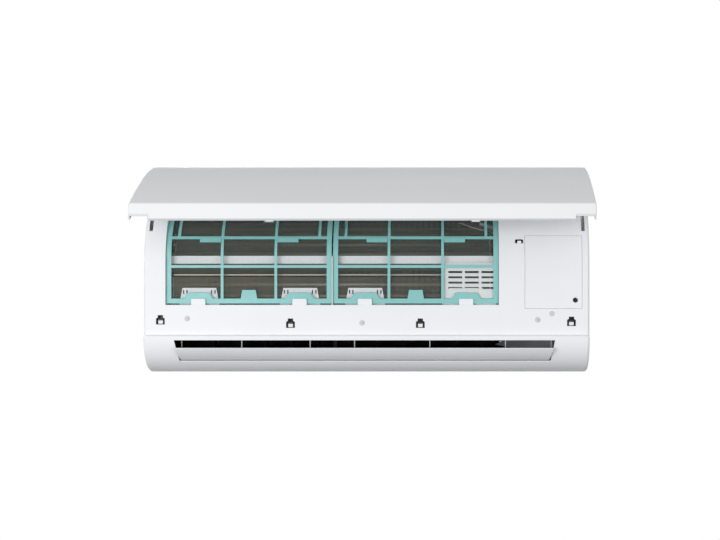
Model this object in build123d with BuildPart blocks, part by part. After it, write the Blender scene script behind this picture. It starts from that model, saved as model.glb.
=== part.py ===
"""Wall-mounted indoor unit of a small split air conditioner, with its front panel raised.

Axes: X runs along the unit, -Y is forward out of the wall, +Z is up, all in millimetres.
The origin lies on the wall, at the middle of the wall plate's screw pattern.
Side outlines are drawn as (forward, up): distance out from the wall, and height above mid-height.
"""

import os
from math import acos, atan2, cos, degrees, hypot, radians, sin, tan

from build123d import *

# ---------------------------------------------------------------- overall size
width = 722.0
height = 290.0
depth = 176.0  # from the wall to the casing's nose, without the panel
wall = 2.5
gap = 0.4  # between pieces that seat against each other
mid = height / 2
left_end = -width / 2
right_end = width / 2

# ---------------------------------------------------------------- casing outline
casing_back = 4.0
seam_step = 5.0
seam_rise = 2.0
foot_bevel = 12.0
casing_face = depth - seam_step  # how far the face under the panel stands out from the wall
lower_radius = 64.0
lower_start = depth - lower_radius
face_radius = 150.0
face_turn = 35.0
crest_radius = 65.0
side_round = 5.0

# ---------------------------------------------------------------- filter window
window_left = left_end + 35.5
window_right = right_end - 147.0
window_sill = 114.0
window_head = 262.0
rim_wall = 2.0
rim_depth = 16.0
intake_left = window_left + 10.5
intake_right = window_right - 9.0
intake_back = 16.0
intake_front = 84.0
intake_columns = 26
intake_rows = 4
intake_bar = 2.0

# ---------------------------------------------------------------- filters
filter_thick = 3.0
filter_out = casing_face - 6.5
head_rim_back = filter_out - 27.5
filter_straight = 75.0
filter_radius = 80.0
filter_turn = 70.0
filter_foot = 116.0
filter_length = 209.0
filter_border = 8.0
filter_column = 87.0
filter_rib = 4.5
filter_row_ends = (60.0, 107.0, 158.0)  # along the path from the foot
filter_split = (window_left + window_right) / 2
filter_gap = 2.6
filter_play = 0.6
side_cell = 20.0
lip_low = filter_row_ends[1] - 8.0
lip_height = 7.0
lip_width = 34.0
lip_offset = 63.0
net_thick = 0.4
tab_width = 27.0
tab_rise = 22.0
foot_lobe_width = 48.0
foot_lobe_top = 35.0
foot_lobe_rise = 9.5
tongue_width = 23.0
tongue_corner = 2.0
tongue_rise = 10.0
tongue_offset = 82.0
tongue_thick = 2.4
tongue_out = filter_out + filter_thick / 2 + 1.0
holder_width = 66.0
holder_rise = 27.0
holder_thick = 2.5
holder_out = filter_out - filter_thick / 2 - 6.0
holder_slope = 79.0
holder_slots = (-25.5, -20.0, 20.0, 25.5)
holder_slot_length = 6.5
holder_slot_width = 2.2
bar_low = 180.0
bar_high = 193.0
bar_thick = 3.5
bar_front = holder_out - 2.0
grille_left = window_right - 83.0
grille_right = window_right - 4.0
grille_end = 66.0
grille_depth = 3.3
grille_thick = 1.6
grille_column = 27.0
grille_slot_width = 22.5
grille_slot_height = 3.3
grille_slot_pitch = 8.6
grille_slot_start = 23.4
grille_rows = 5

# ---------------------------------------------------------------- coil
coil_left = window_left + 9.5
coil_right = window_right - 14.0
coil_thick = 22.0
coil_out = filter_out - 22.5
trough_rise = 174.5
trough_front = 42.0
coil_front = ((coil_out, 96.0), (coil_out + 1.0, 158.0))
coil_upper = ((coil_out + 3.0, 165.0), (coil_out - 45.0, 232.0))
coil_rear = ((coil_out - 58.0, 238.0), (34.0, trough_rise + 19.5))
tube_radius = 3.5
tube_pitch = 19.0
tube_row = 11.0
bend_reach = 11.0
plate_thick = 1.2

# ---------------------------------------------------------------- fan and its motor
fan_radius = 43.0
fan_out = coil_out - coil_thick / 2 - fan_radius - 4.0
fan_rise = 125.0
fan_left = coil_left + 2.0
fan_right = coil_right + 4.0
fan_blades = 28
fan_rings = 6
fan_disc_thick = 3.0
blade_thick = 1.2
blade_chord = 10.0
blade_angle = 35.0
shaft_radius = 4.0
shaft_seat = 14.0
hub_radius = 14.0
hub_length = 8.0
bearing_radius = 12.0
bearing_left = left_end + 34.0
bearing_right = bearing_left + 8.0
motor_left = window_right + 8.0
motor_right = motor_left + 66.0
motor_radius = 36.0
motor_round = 5.0
clamp_right = motor_right - 6.0
clamp_width = 14.0
clamp_thick = 2.0

# ---------------------------------------------------------------- outlet and flap
outlet_left = left_end + 49.0
outlet_right = right_end - 55.0
outlet_top = 6.0
outlet_bottom = 42.0
outlet_skew = 10.0
hanger_place = -51.3
hanger_thick = 5.0
hanger_boss = 4.0  # radius round the flap's middle pin
hanger_front = (4.0, 4.0)  # of its root: back from the roof's end, and above it
hanger_back = (18.0, 10.0)
flap_top = 8.5
flap_bottom = 37.0
flap_thick = 3.0
flap_pivot_out = depth - 18.0
flap_pivot_rise = 32.0
flap_open = 28.0
flap_pin = 2.5
flap_play = 5.5
lug_width = 7.0
lug_round = 3.9
lug_spans = (
    (outlet_left + 12.0, outlet_left + 15.0),
    (hanger_place - 6.2, hanger_place - 3.7),
    (hanger_place + 3.8, hanger_place + 6.3),
    (outlet_right - 15.0, outlet_right - 12.0),
)
step_motor_radius = 11.5
step_motor_offset = 7.5
step_motor_thick = 15.0
duct_wall = 2.0
throat_start = outlet_left - 8.0
throat_end = outlet_right + 4.0
throat_right = window_right - 5.0
pin_spans = (
    (throat_start, outlet_left + 15.0),
    (hanger_place - 6.2, hanger_place + 6.3),
    (outlet_right - 15.0, throat_end - 0.5),
)
floor_start = (depth - 78.0, 43.2)
floor_end = (depth - 28.0, 23.6)
roof_start = (depth - 49.0, 80.0)
roof_end = (depth - 10.0, 60.0)
cheek_back = floor_start[0]
cheek_front = cheek_back + 40.0
guard_thick = 1.6
guard_width = 3.0
guard_lean = 3.0
guard_out = floor_end[0] - 3.0
guard_places = (
    outlet_left + 8.2,
    outlet_left + 106.5,
    hanger_place - 42.5,
    hanger_place + 30.2,
    hanger_place + 153.3,
    outlet_right - 80.3,
    outlet_right - 5.7,
)
tray_back = coil_out - 15.0
tray_front = coil_out + 14.5
tray_low = 84.0
tray_high = 102.0

# ---------------------------------------------------------------- vanes
vane_count = 6
vane_rooms = {
    "left": (outlet_left + 16.0, hanger_place - 29.7),
    "right": (hanger_place + 23.3, throat_right - 22.0),
}
vane_thick = 1.6
vane_lift = 1.0  # of the vanes over the duct's floor
vane_rise = 22.0
vane_front = 20.0
vane_back = 5.0
vane_out = floor_start[0] + 14.0
vane_pin_length = 5.0
vane_arm = 10.0
vane_pin = 1.5
vane_play = 0.1
link_width = 5.0
link_thick = 2.0
link_height = 15.0

# ---------------------------------------------------------------- right-hand end
service_left = right_end - 105.0
service_right = right_end - 12.0
service_sill = 108.0
service_head = 226.0
cover_thick = 2.2
ledge_thick = 2.0
ledge_lap = 2.8
screw_x = service_right - 11.2
screw_rise = service_sill + 13.9
screw_radius = 3.4
screw_head = 2.6
screw_shank = 1.9
screw_length = 10.0
screw_well = 5.0
well_wall = 1.2
cross_width = 0.8
cable_slot_x = service_left - 9.0
cable_slot_rise = 216.7
cable_slot_width = 13.0
cable_slot_height = 6.5
cable_slot_corner = 2.0
box_left = service_left - 18.0
box_right = service_right - 15.0
box_back = fan_out + motor_radius + 4.0
box_front = box_back + 26.0
box_low = 92.0
box_high = 214.0
box_wall = 2.0
board_out = box_back + 4.0
board_thick = 1.6
board_front = board_out + board_thick
relay_width = 24.0
relay_height = 16.0
coil_pack_width = 16.0
coil_pack_height = 40.0
block_proud = 12.0  # of the relays and the choke on the board
can_radius = 9.0
can_proud = 15.0
terminal_left = box_right - 38.0
terminal_right = box_right - 6.0
terminal_front = board_front + 16.4
terminal_low = 108.0
terminal_high = 134.0
terminal_pitch = 10.0
terminal_row = 12.0
terminal_cell_width = 7.0
terminal_cell_height = 8.0
terminal_cell_depth = 3.0

# ---------------------------------------------------------------- small pieces in the face
sockets = (
    (left_end + 27.5, 90.0),
    (-123.0, 84.5),
    (87.0, 84.5),
    (right_end - 29.5, 87.5),
)
socket_width = 14.2
socket_height = 15.2
socket_depth = 11.0
socket_wall = 1.0
socket_top_width = 8.6
socket_step = 5.4
socket_shoulder = 1.8
catch_width = 7.6
catch_rise = 7.9
catch_round = 1.2
catch_depth = 1.5
case_screws = ((left_end + 71.0, 92.0), (-7.0, 85.0), (right_end - 84.0, 90.0))
cap_radius = 4.5
cap_proud = 0.2
button_x = right_end - 61.0
button_rise = 100.0
button_radius = 4.0
button_proud = 0.8
button_travel = 1.5
switch_side = 12.0
switch_height = 10.0

# ---------------------------------------------------------------- front panel
panel_wall = 2.6
panel_front = casing_face + 25.0
panel_foot = 80.0
panel_rear = panel_front - 78.0
panel_gap = 1.6
panel_corner = 20.0
panel_round = 2.5
crown_low_radius = 1000.0
crown_low_turn = 6.0
crown_high_radius = 400.0
crown_high_turn = 12.0
brow_radius = 34.0
brow_turn = 71.0
brow_fall = 0.4
lip_back = 19.5
lip_drop = 15.0
lip_end_cut = 32.0
lip_tongue = 5.0
lip_round = 4.0
panel_ribs = (-270.0, -170.0, -57.0, 57.0, 170.0, 270.0)
rib_thick = 2.0
rib_depth = 6.0
pivot_out = 78.0
pivot_rise = 243.0
panel_open = 64.0
arm_thick = 4.0
arm_inset = 8.0
arm_width = 15.0
pin_radius = 4.0
pin_play = 0.1
slot_play = 1.0
bearing_thick = 3.0
clip_thick = 2.0
clip_width = 5.0
clip_over = 5.0  # above a socket's middle, where a clip passes the face
clip_reach = 3.5  # of a clip behind the face

# ---------------------------------------------------------------- wall plate and rear chassis
plate_steel = 1.2
plate_width = 520.0
plate_low = 74.0
plate_high = 262.0
plate_hole = 2.6
plate_hole_x = 400.0
plate_hole_z = 120.0
plate_corner = 6.0
plate_slot_x = 110.0
plate_slot_z = 76.0
plate_slot_length = 60.0
plate_slot_width = 26.0
press_height = 5.0
press_inset = 10.0
press_middle = 20.0
hook_place = 180.0
hook_width = 9.0
hook_play = 2.0
hook_low = 246.0
hook_high = 266.0
hook_seat = hook_low + 6.0
hook_lip = 9.0
chassis_wall = 2.5
chassis_skin = casing_back + chassis_wall
chassis_left = left_end + 28.0
chassis_right = right_end - 21.0
chassis_top = 276.0
mid_plate = window_right + 2.0
scroll_points = (
    (fan_out - 56.0, fan_rise + 51.0),
    (fan_out - 49.0, fan_rise - 3.0),
    (fan_out - 28.0, fan_rise - 51.0),
    (floor_start[0] - 2.0, floor_start[1] - 1.2),
)
recess_low = 17.0
recess_top = 72.0
recess_front = 40.0
plate_foot = floor_start[0] - 6.0
plate_front = coil_out + 8.0
plate_crest = 262.0

# ---------------------------------------------------------------- pipes
gas_share = 0.358  # how far down the rear fin block its pipe leaves
liquid_share = 0.642
gas_x = right_end - 105.0
gas_out = 18.0
gas_run = 30.0
gas_end = 60.0
gas_bend = 12.0
gas_pipe = 4.76
gas_thread = 7.94
foam_thick = 4.0
foam_bare = 25.0
foam_short = 40.0
liquid_x = right_end - 121.0
liquid_out = 33.0
liquid_run = 46.0
liquid_end = 90.0
liquid_bend = 9.0
liquid_pipe = 3.175
liquid_thread = 5.56
union_length = 28.0
union_hex = 14.0
union_grow = 1.25
union_bore = 0.7
drain_x = right_end - 133.0
drain_out = 18.0
drain_rise = trough_rise + 3 * chassis_wall
drain_run = 56.0
drain_end = 150.0
drain_bend = 9.0
drain_radius = 7.5
drain_wall = 1.5


def side_plane(x=0.0, turn=0.0, about=(0.0, 0.0)):
    """Plane across the unit at x. Its x runs forward, its y up, turned about a (forward, up) point."""
    c, s = cos(radians(turn)), sin(radians(turn))
    out, up = about
    origin = (x, -out + out * c - up * s, up - out * s - up * c)
    return Plane(origin=origin, x_dir=(0, -c, s), z_dir=(-1, 0, 0))


def front_plane(out):
    """Upright plane facing forward, at a distance out from the wall. Its x runs along the unit."""
    return Plane(origin=(0, -out, 0), x_dir=(1, 0, 0), z_dir=(0, -1, 0))


def up(rise):
    """Height above the unit's foot, as height above mid-height."""
    return rise - mid


def span(left, right):
    """Middle of a stretch along X."""
    return (left + right) / 2


def save(piece, name):
    """Labels a finished piece and writes it to its own file."""
    piece.label = name
    export_step(piece, f"parts/{name}.step")


os.makedirs("parts", exist_ok=True)

pivot = (pivot_out, up(pivot_rise))
flap_pivot = (flap_pivot_out, up(flap_pivot_rise))
lower_centre = (lower_start, up(lower_radius))
crest_rise = crest_radius * (1 - sin(radians(face_turn)))
face_top = height - face_radius * sin(radians(face_turn)) - crest_rise


# ================================================================ side outlines
def casing_outline():
    """The casing's side outline: rounded foot, small step at the seam, and a face that leans back."""
    with BuildSketch() as outline:
        with BuildLine():
            foot = Polyline(
                (casing_back, mid), (casing_back, up(foot_bevel)), (lower_start, up(0))
            )
            nose = JernArc(start=foot @ 1, tangent=(1, 0), radius=lower_radius, arc_size=90)
            face = Polyline(
                nose @ 1,
                (nose @ 1) + Vector(-seam_step, seam_rise),
                (casing_face, up(face_top)),
            )
            lean = JernArc(start=face @ 1, tangent=(0, 1), radius=face_radius, arc_size=face_turn)
            crest = JernArc(
                start=lean @ 1, tangent=lean % 1, radius=crest_radius, arc_size=90 - face_turn
            )
            Line(crest @ 1, (casing_back, mid))
        make_face()
    return outline.sketch


def panel_outline():
    """The panel's side outline when shut: a crowned front, a rounded brow and a lip under its foot."""
    front_foot = (panel_front, up(panel_foot))
    lip_end = (panel_front - lip_back, up(panel_foot - lip_drop))
    with BuildSketch() as outline:
        with BuildLine():
            lower = JernArc(
                start=front_foot, tangent=(0, 1), radius=crown_low_radius, arc_size=crown_low_turn
            )
            upper = JernArc(
                start=lower @ 1,
                tangent=lower % 1,
                radius=crown_high_radius,
                arc_size=crown_high_turn,
            )
            brow = JernArc(
                start=upper @ 1, tangent=upper % 1, radius=brow_radius, arc_size=brow_turn
            )
            top = Line(brow @ 1, (panel_rear, (brow @ 1).Y + brow_fall))
            Polyline(top @ 1, (panel_rear, lip_end[1]), lip_end, front_foot)
        make_face()
        fillet(outline.vertices().sort_by_distance(front_foot)[0], radius=lip_round)
    return outline.sketch


def filter_line(first, last, depth):
    """Stretch of a line beside the filters' path, between two distances up from their foot.

    The path goes straight up behind the window, curves back over the coil and runs on straight.
    """
    bend_end = filter_straight + filter_radius * radians(filter_turn)
    centre = Vector(filter_out - filter_radius, up(filter_foot + filter_straight))
    radius = filter_radius - depth
    tail_way = Vector(0, 1).rotate(Axis.Z, filter_turn)
    tail_start = centre + Vector(radius, 0).rotate(Axis.Z, filter_turn) - tail_way * bend_end
    pieces = []
    if first < filter_straight:
        low = up(filter_foot + first)
        high = up(filter_foot + min(last, filter_straight))
        pieces.append(Line((filter_out - depth, low), (filter_out - depth, high)))
    bend_first = max(first, filter_straight)
    bend_last = min(last, bend_end)
    if bend_last > bend_first:
        turn_first = degrees((bend_first - filter_straight) / filter_radius)
        turn = degrees((bend_last - bend_first) / filter_radius)
        pieces.append(CenterArc(centre, radius, turn_first, turn))
    if last > bend_end:
        pieces.append(Line(tail_start + tail_way * max(first, bend_end), tail_start + tail_way * last))
    return pieces


def along_filter(first, last, thick, depth=0.0):
    """Side outline of a strip along the filters' path. Depth puts its middle behind the path."""
    with BuildSketch() as strip:
        with BuildLine():
            front = filter_line(first, last, depth - thick / 2)
            back = filter_line(first, last, depth + thick / 2)
            Line(front[0] @ 0, back[0] @ 0)
            Line(front[-1] @ 1, back[-1] @ 1)
        make_face()
    return strip.sketch


def slab(outline, left, right, plane_turn=0.0, about=(0.0, 0.0)):
    """Solid of a side outline between two places along X."""
    with BuildPart() as piece:
        with BuildSketch(side_plane(right, plane_turn, about)):
            add(outline)
        extrude(amount=right - left)
    return piece.part


def block(left, right, back, front, low, high):
    """Square-cornered solid from its limits: along X, out from the wall, and above the unit's foot."""
    with BuildPart() as piece:
        with BuildSketch(side_plane(right)):
            with Locations(((back + front) / 2, up((low + high) / 2))):
                Rectangle(front - back, high - low)
        extrude(amount=right - left)
    return piece.part


# ================================================================ front casing
def outlet_mouth(grow):
    """Prism through the casing's foot with raked ends. The flap is cut by one with a negative grow."""
    rake = outlet_skew * lower_radius / (lower_radius - 10)
    with BuildPart() as mouth:
        with BuildSketch(front_plane(lower_start)):
            with BuildLine():
                Polyline(
                    (outlet_left - grow, up(lower_radius)),
                    (outlet_right + grow, up(lower_radius)),
                    (outlet_right + grow - rake, up(0)),
                    (outlet_left - grow + rake, up(0)),
                    close=True,
                )
            make_face()
        extrude(amount=2 * lower_radius)
    return mouth.part


def lower_sector(first, last, inner, outer):
    """Side outline of a piece of the casing's foot, between two angles below level and two radii."""
    with BuildSketch() as sector:
        with BuildLine():
            rim = CenterArc(lower_centre, outer, -last, last - first)
            hub = CenterArc(lower_centre, inner, -last, last - first)
            Line(rim @ 0, hub @ 0)
            Line(rim @ 1, hub @ 1)
        make_face()
    return sector.sketch


def face_layer(outer, inner):
    """Side outline of the layer under the casing's skin, between two depths below it."""
    with BuildSketch() as layer:
        add(casing_shape)
        offset(amount=-outer, kind=Kind.INTERSECTION)
        with BuildSketch(mode=Mode.SUBTRACT):
            add(casing_shape)
            offset(amount=-inner, kind=Kind.INTERSECTION)
        with Locations((fan_out - width / 2, 0)):
            Rectangle(width, width, mode=Mode.SUBTRACT)
    return layer.sketch


def arm_slot(side):
    """Slot in the casing's brow that a panel arm swings through, on one side."""
    middle = side * (width / 2 - arm_inset - arm_thick / 2)
    half = arm_thick / 2 + slot_play
    low = pivot_rise - arm_width / 2 - 2 * slot_play
    back = pivot_out - arm_width / 2 - 3 * slot_play
    return block(middle - half, middle + half, back, panel_front, low, height + wall)


def bearing_rib(side):
    """Rib that hangs from the casing's crest and carries a panel pin, on one side."""
    near = side * (width / 2 - arm_inset - arm_thick - 2 * slot_play)
    far = near - side * bearing_thick
    with BuildPart() as rib:
        with BuildSketch(side_plane(max(near, far))):
            with Locations(pivot):
                Circle(2.6 * pin_radius)
            with Locations((pivot_out, span(up(pivot_rise), mid - wall / 2))):
                Rectangle(5.2 * pin_radius, mid - wall / 2 - up(pivot_rise))
            with Locations(pivot):
                Circle(pin_radius + pin_play, mode=Mode.SUBTRACT)
        extrude(amount=bearing_thick)
    return rib.part


def socket_outline(play):
    """Outline of a latch socket from the front: a box with a narrower step. Play shrinks it."""
    half, top_half = socket_width / 2 - play, socket_top_width / 2 - play
    foot, head = -socket_height / 2 + play, socket_height / 2 - play
    with BuildSketch() as socket:
        with BuildLine():
            Polyline(
                (-half, foot),
                (half, foot),
                (half, head - socket_step),
                (top_half, head - socket_step + socket_shoulder),
                (top_half, head),
                (-top_half, head),
                (-top_half, head - socket_step + socket_shoulder),
                (-half, head - socket_step),
                close=True,
            )
        make_face()
    return socket.sketch


def filter_holder(middle):
    """Outline, seen from the front, of the tapered plate that stands behind a filter's lower edge."""
    with BuildSketch() as holder:
        with Locations((middle, up(window_sill + holder_rise / 2 - rim_wall / 2))):
            Trapezoid(holder_width, holder_rise + rim_wall, holder_slope)
        with Locations((middle, up(window_sill + holder_rise - holder_slot_length))):
            with Locations(*[(x, 0) for x in holder_slots]):
                SlotOverall(holder_slot_length, holder_slot_width, rotation=90, mode=Mode.SUBTRACT)
    return holder.sketch


def end_profile(inset):
    """Outline from the front: square below, with both upper corners rounded."""
    with BuildSketch() as profile:
        with Locations((0, -mid)):
            Rectangle(width - 2 * inset, 2 * height - 2 * inset)
        fillet(profile.vertices().group_by(Axis.Y)[-1], radius=panel_corner - inset)
    return profile.sketch


casing_shape = casing_outline()
panel_shape = panel_outline()
window_middle = span(window_left, window_right)
window_width = window_right - window_left
window_height = window_head - window_sill
service_middle = (span(service_left, service_right), up(span(service_sill, service_head)))
service_width = service_right - service_left
service_height = service_head - service_sill
filter_middles = (span(window_left, filter_split), span(filter_split, window_right))
holder_places = [m + side * tongue_offset for m in filter_middles for side in (-1, 1)]

with BuildPart() as front_casing:
    with BuildSketch(side_plane(width / 2)):
        add(casing_shape)
    extrude(amount=width)
    end_edges = front_casing.faces().filter_by(Axis.X).edges()
    fillet(end_edges.filter_by(lambda e: -e.center().Y > casing_back + 1), radius=side_round)
    with BuildSketch(front_plane(0)):
        add(end_profile(0))
    extrude(amount=width, mode=Mode.INTERSECT)
    with BuildPart(mode=Mode.PRIVATE) as cavity:
        with BuildSketch(side_plane(width / 2 - wall)):
            add(casing_shape)
            offset(amount=-wall, kind=Kind.INTERSECTION)
            with Locations((casing_back, 0)):
                Rectangle(4 * wall, height - 2 * wall)
        extrude(amount=width - 2 * wall)
        with BuildSketch(front_plane(-wall)):
            add(end_profile(wall))
        extrude(amount=width, mode=Mode.INTERSECT)
    add(cavity.part, mode=Mode.SUBTRACT)

    # the window's rim runs back from the face, and a bar crosses behind the filters
    with BuildPart(mode=Mode.PRIVATE) as rim:
        add(slab(face_layer(0, rim_depth), window_left - rim_wall, window_right + rim_wall))
        with BuildSketch(front_plane(0)):
            with Locations((window_middle, up(span(window_sill, window_head)))):
                Rectangle(window_width + 2 * rim_wall, window_height + 2 * rim_wall)
        extrude(amount=width, mode=Mode.INTERSECT)
    add(rim.part)
    with BuildSketch(front_plane(fan_out)):
        with Locations((window_middle, up(span(window_sill, window_head)))):
            Rectangle(window_width, window_height)
    extrude(amount=width, mode=Mode.SUBTRACT)

    # a thin post parts the two filters, and tongues on the sill hold their lower edges
    add(
        block(
            filter_split - filter_gap / 2 + filter_play,
            filter_split + filter_gap / 2 - filter_play,
            bar_front - gap,
            casing_face - 1,
            window_sill - rim_wall / 2,
            bar_high,
        )
    )
    add(
        block(
            window_left - rim_wall / 2,
            window_right + rim_wall / 2,
            bar_front - bar_thick,
            bar_front,
            bar_low,
            bar_high,
        )
    )
    for edge in (window_left - rim_wall, window_right):
        rim_back = casing_face - rim_depth
        add(block(edge, edge + rim_wall, bar_front - bar_thick, rim_back + 1, bar_low, bar_high))
    # over the window the rim is shallow, where the filters lean back
    head_left, head_right = window_left - rim_wall, window_right + rim_wall
    head_low, head_high = window_head - gap, window_head + 2 * rim_wall
    head_cut = (head_rim_back - 2 * rim_depth, head_rim_back, head_low, head_high)
    add(block(head_left, head_right, *head_cut), mode=Mode.SUBTRACT)
    for place in holder_places:
        with BuildSketch(front_plane(tongue_out)):
            with Locations((place, up(window_sill + tongue_rise / 2 - rim_wall / 2))):
                RectangleRounded(tongue_width, tongue_rise + rim_wall, tongue_corner)
        extrude(amount=tongue_thick)
        with BuildSketch(front_plane(holder_out)):
            add(filter_holder(place))
        extrude(amount=holder_thick)

    # the air comes in through the crest and leaves through the rounded foot
    intake = block(intake_left, intake_right, intake_back, intake_front, height - 3 * wall, height)
    add(intake, mode=Mode.SUBTRACT)
    with BuildPart(mode=Mode.PRIVATE) as mouth:
        add(outlet_mouth(0))
        mouth_zone = slab(
            lower_sector(outlet_top, outlet_bottom, lower_radius - 3 * wall, lower_radius + wall),
            outlet_left - outlet_skew,
            outlet_right + outlet_skew,
        )
        add(mouth_zone, mode=Mode.INTERSECT)
    add(mouth.part, mode=Mode.SUBTRACT)

    # the panel's arms swing through slots beside the ribs that carry its pins
    for side in (-1, 1):
        add(arm_slot(side), mode=Mode.SUBTRACT)
        add(bearing_rib(side))

    # at the right-hand end a ledge carries the electrical cover
    with BuildPart(mode=Mode.PRIVATE) as ledge:
        ledge_layer = face_layer(wall, wall + ledge_thick)
        add(slab(ledge_layer, service_left - ledge_lap, service_right + ledge_lap))
        with BuildSketch(front_plane(0)):
            with Locations(service_middle):
                Rectangle(service_width + 2 * ledge_lap, service_height + 2 * ledge_lap)
                Rectangle(
                    service_width - 2 * ledge_lap,
                    service_height - 2 * ledge_lap,
                    mode=Mode.SUBTRACT,
                )
        extrude(amount=width, mode=Mode.INTERSECT)
    with BuildSketch(front_plane(fan_out)):
        with Locations(service_middle):
            Rectangle(service_width, service_height)
    extrude(amount=width, mode=Mode.SUBTRACT)
    add(ledge.part)

    # holes in the face: latch sockets, caps over the casing screws, the push button and a cable slot
    with BuildSketch(front_plane(casing_face - 2 * wall)):
        with Locations([(x, up(rise)) for x, rise in sockets]):
            add(socket_outline(0))
        with Locations([(x, up(rise)) for x, rise in case_screws]):
            Circle(cap_radius)
        with Locations((button_x, up(button_rise))):
            Circle(button_radius + pin_play)
    extrude(amount=3 * wall, mode=Mode.SUBTRACT)
    with BuildSketch(front_plane(fan_out)):
        with Locations((cable_slot_x, up(cable_slot_rise))):
            RectangleRounded(cable_slot_width, cable_slot_height, cable_slot_corner)
    extrude(amount=width, mode=Mode.SUBTRACT)

save(front_casing.part, "front_casing")


# ================================================================ front panel
# The panel and its clips are drawn shut, then swung up about the pivot to where they are shown.
def raised(piece):
    """Swings a piece drawn with the panel shut up to the raised position."""
    hinge = Axis((0, -pivot[0], pivot[1]), (1, 0, 0))
    return piece.rotate(hinge, -panel_open)


with BuildPart() as shut_panel:
    with BuildSketch(side_plane(width / 2)):
        add(panel_shape)
    extrude(amount=width)
    crown = shut_panel.faces().filter_by(Axis.X).edges()
    front_edges = crown.filter_by(lambda e: -e.center().Y > casing_face)
    fillet(front_edges, radius=panel_round)
    with BuildSketch(front_plane(0)):
        add(end_profile(0))
    extrude(amount=width, mode=Mode.INTERSECT)
    with BuildPart(mode=Mode.PRIVATE) as tray:
        with BuildSketch(side_plane(width / 2 - panel_wall)):
            add(panel_shape)
            offset(amount=-panel_wall, kind=Kind.INTERSECTION)
        extrude(amount=width - 2 * panel_wall)
        with BuildSketch(front_plane(0)):
            add(end_profile(panel_wall))
        extrude(amount=width, mode=Mode.INTERSECT)
    add(tray.part, mode=Mode.SUBTRACT)
    with BuildSketch(side_plane(width / 2)):
        add(casing_shape)
        offset(amount=panel_gap)
        with Locations((casing_back, 0)):
            Rectangle(2 * (panel_rear - casing_back), 2 * height)
    extrude(amount=width, mode=Mode.SUBTRACT)
    # a shorter lip at both ends, and stiffening ribs inside
    for left, right in ((left_end, left_end + lip_end_cut), (right_end - lip_end_cut, right_end)):
        lip_end = panel_foot - lip_drop + lip_tongue
        add(block(left, right, panel_rear, panel_front, 0, lip_end), mode=Mode.SUBTRACT)
    for place in panel_ribs:
        with BuildSketch(side_plane(place + rib_thick / 2)):
            add(panel_shape)
            offset(amount=-panel_wall / 2, kind=Kind.INTERSECTION)
            with BuildSketch(mode=Mode.SUBTRACT):
                add(panel_shape)
                offset(amount=-panel_wall - rib_depth, kind=Kind.INTERSECTION)
            with BuildSketch(mode=Mode.SUBTRACT):
                with Locations((0, up(panel_foot - 2 * lip_drop))):
                    Rectangle(2 * width, 3 * lip_drop)
                with Locations((casing_face - width / 2, 0)):
                    Rectangle(width, 2 * height)
        extrude(amount=rib_thick)
    for side in (-1, 1):
        near = side * (width / 2 - arm_inset - arm_thick)
        with BuildSketch(side_plane(max(near, near + side * arm_thick))):
            with Locations((span(pivot_out, panel_front), up(pivot_rise))):
                Rectangle(panel_front - pivot_out, arm_width)
            with Locations(pivot):
                Circle(arm_width / 2)
            with BuildSketch(mode=Mode.INTERSECT):
                add(panel_shape)
                offset(amount=-panel_wall / 2, kind=Kind.INTERSECTION)
                with Locations((panel_rear - width / 2 + 2 * panel_wall, 0)):
                    Rectangle(width, 2 * height)
        extrude(amount=arm_thick)
        far = near - side * (bearing_thick + 4 * slot_play)
        with BuildSketch(side_plane(max(near, far))):
            with Locations(pivot):
                Circle(pin_radius)
        extrude(amount=abs(near - far))
    # each clip is bent about the pivot, so that it enters its socket along its own line
    for place, rise in sockets:
        drop = pivot_rise - rise - clip_over
        clip_radius = hypot(casing_face - pivot_out, drop)
        first = degrees(acos((panel_front - panel_wall / 2 - pivot_out) / clip_radius))
        last = degrees(acos((casing_face - clip_reach - pivot_out) / clip_radius))
        with BuildSketch(side_plane(place + clip_width / 2)):
            with BuildLine():
                outer = CenterArc(pivot, clip_radius + clip_thick / 2, -last, last - first)
                inner = CenterArc(pivot, clip_radius - clip_thick / 2, -last, last - first)
                Line(outer @ 0, inner @ 0)
                Line(outer @ 1, inner @ 1)
            make_face()
        extrude(amount=clip_width)

front_panel = raised(shut_panel.part)
save(front_panel, "front_panel")


# ================================================================ air filters
def cell_columns(left, right, middle):
    """Limits along X of a filter's three columns of cells."""
    ribs = [middle - filter_column / 2, middle + filter_column / 2]
    starts = [left + filter_border] + [x + filter_rib / 2 for x in ribs]
    ends = [x - filter_rib / 2 for x in ribs] + [right - filter_border]
    return list(zip(starts, ends))


def cell_rows():
    """Limits along the path of a filter's rows of cells."""
    starts = [filter_border] + [r + filter_rib / 2 for r in filter_row_ends]
    ends = [r - filter_rib / 2 for r in filter_row_ends] + [filter_length - filter_border]
    return list(zip(starts, ends))


def filter_front(middle, width_low, width_high, low, high):
    """Tapered plate in the straight, lower part of a filter, seen from the front."""
    with BuildPart() as plate:
        with BuildSketch(front_plane(filter_out - filter_thick / 2)):
            with BuildLine():
                Polyline(
                    (middle - width_low / 2, up(low)),
                    (middle + width_low / 2, up(low)),
                    (middle + width_high / 2, up(high)),
                    (middle - width_high / 2, up(high)),
                    close=True,
                )
            make_face()
        extrude(amount=filter_thick)
    return plate.part


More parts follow.
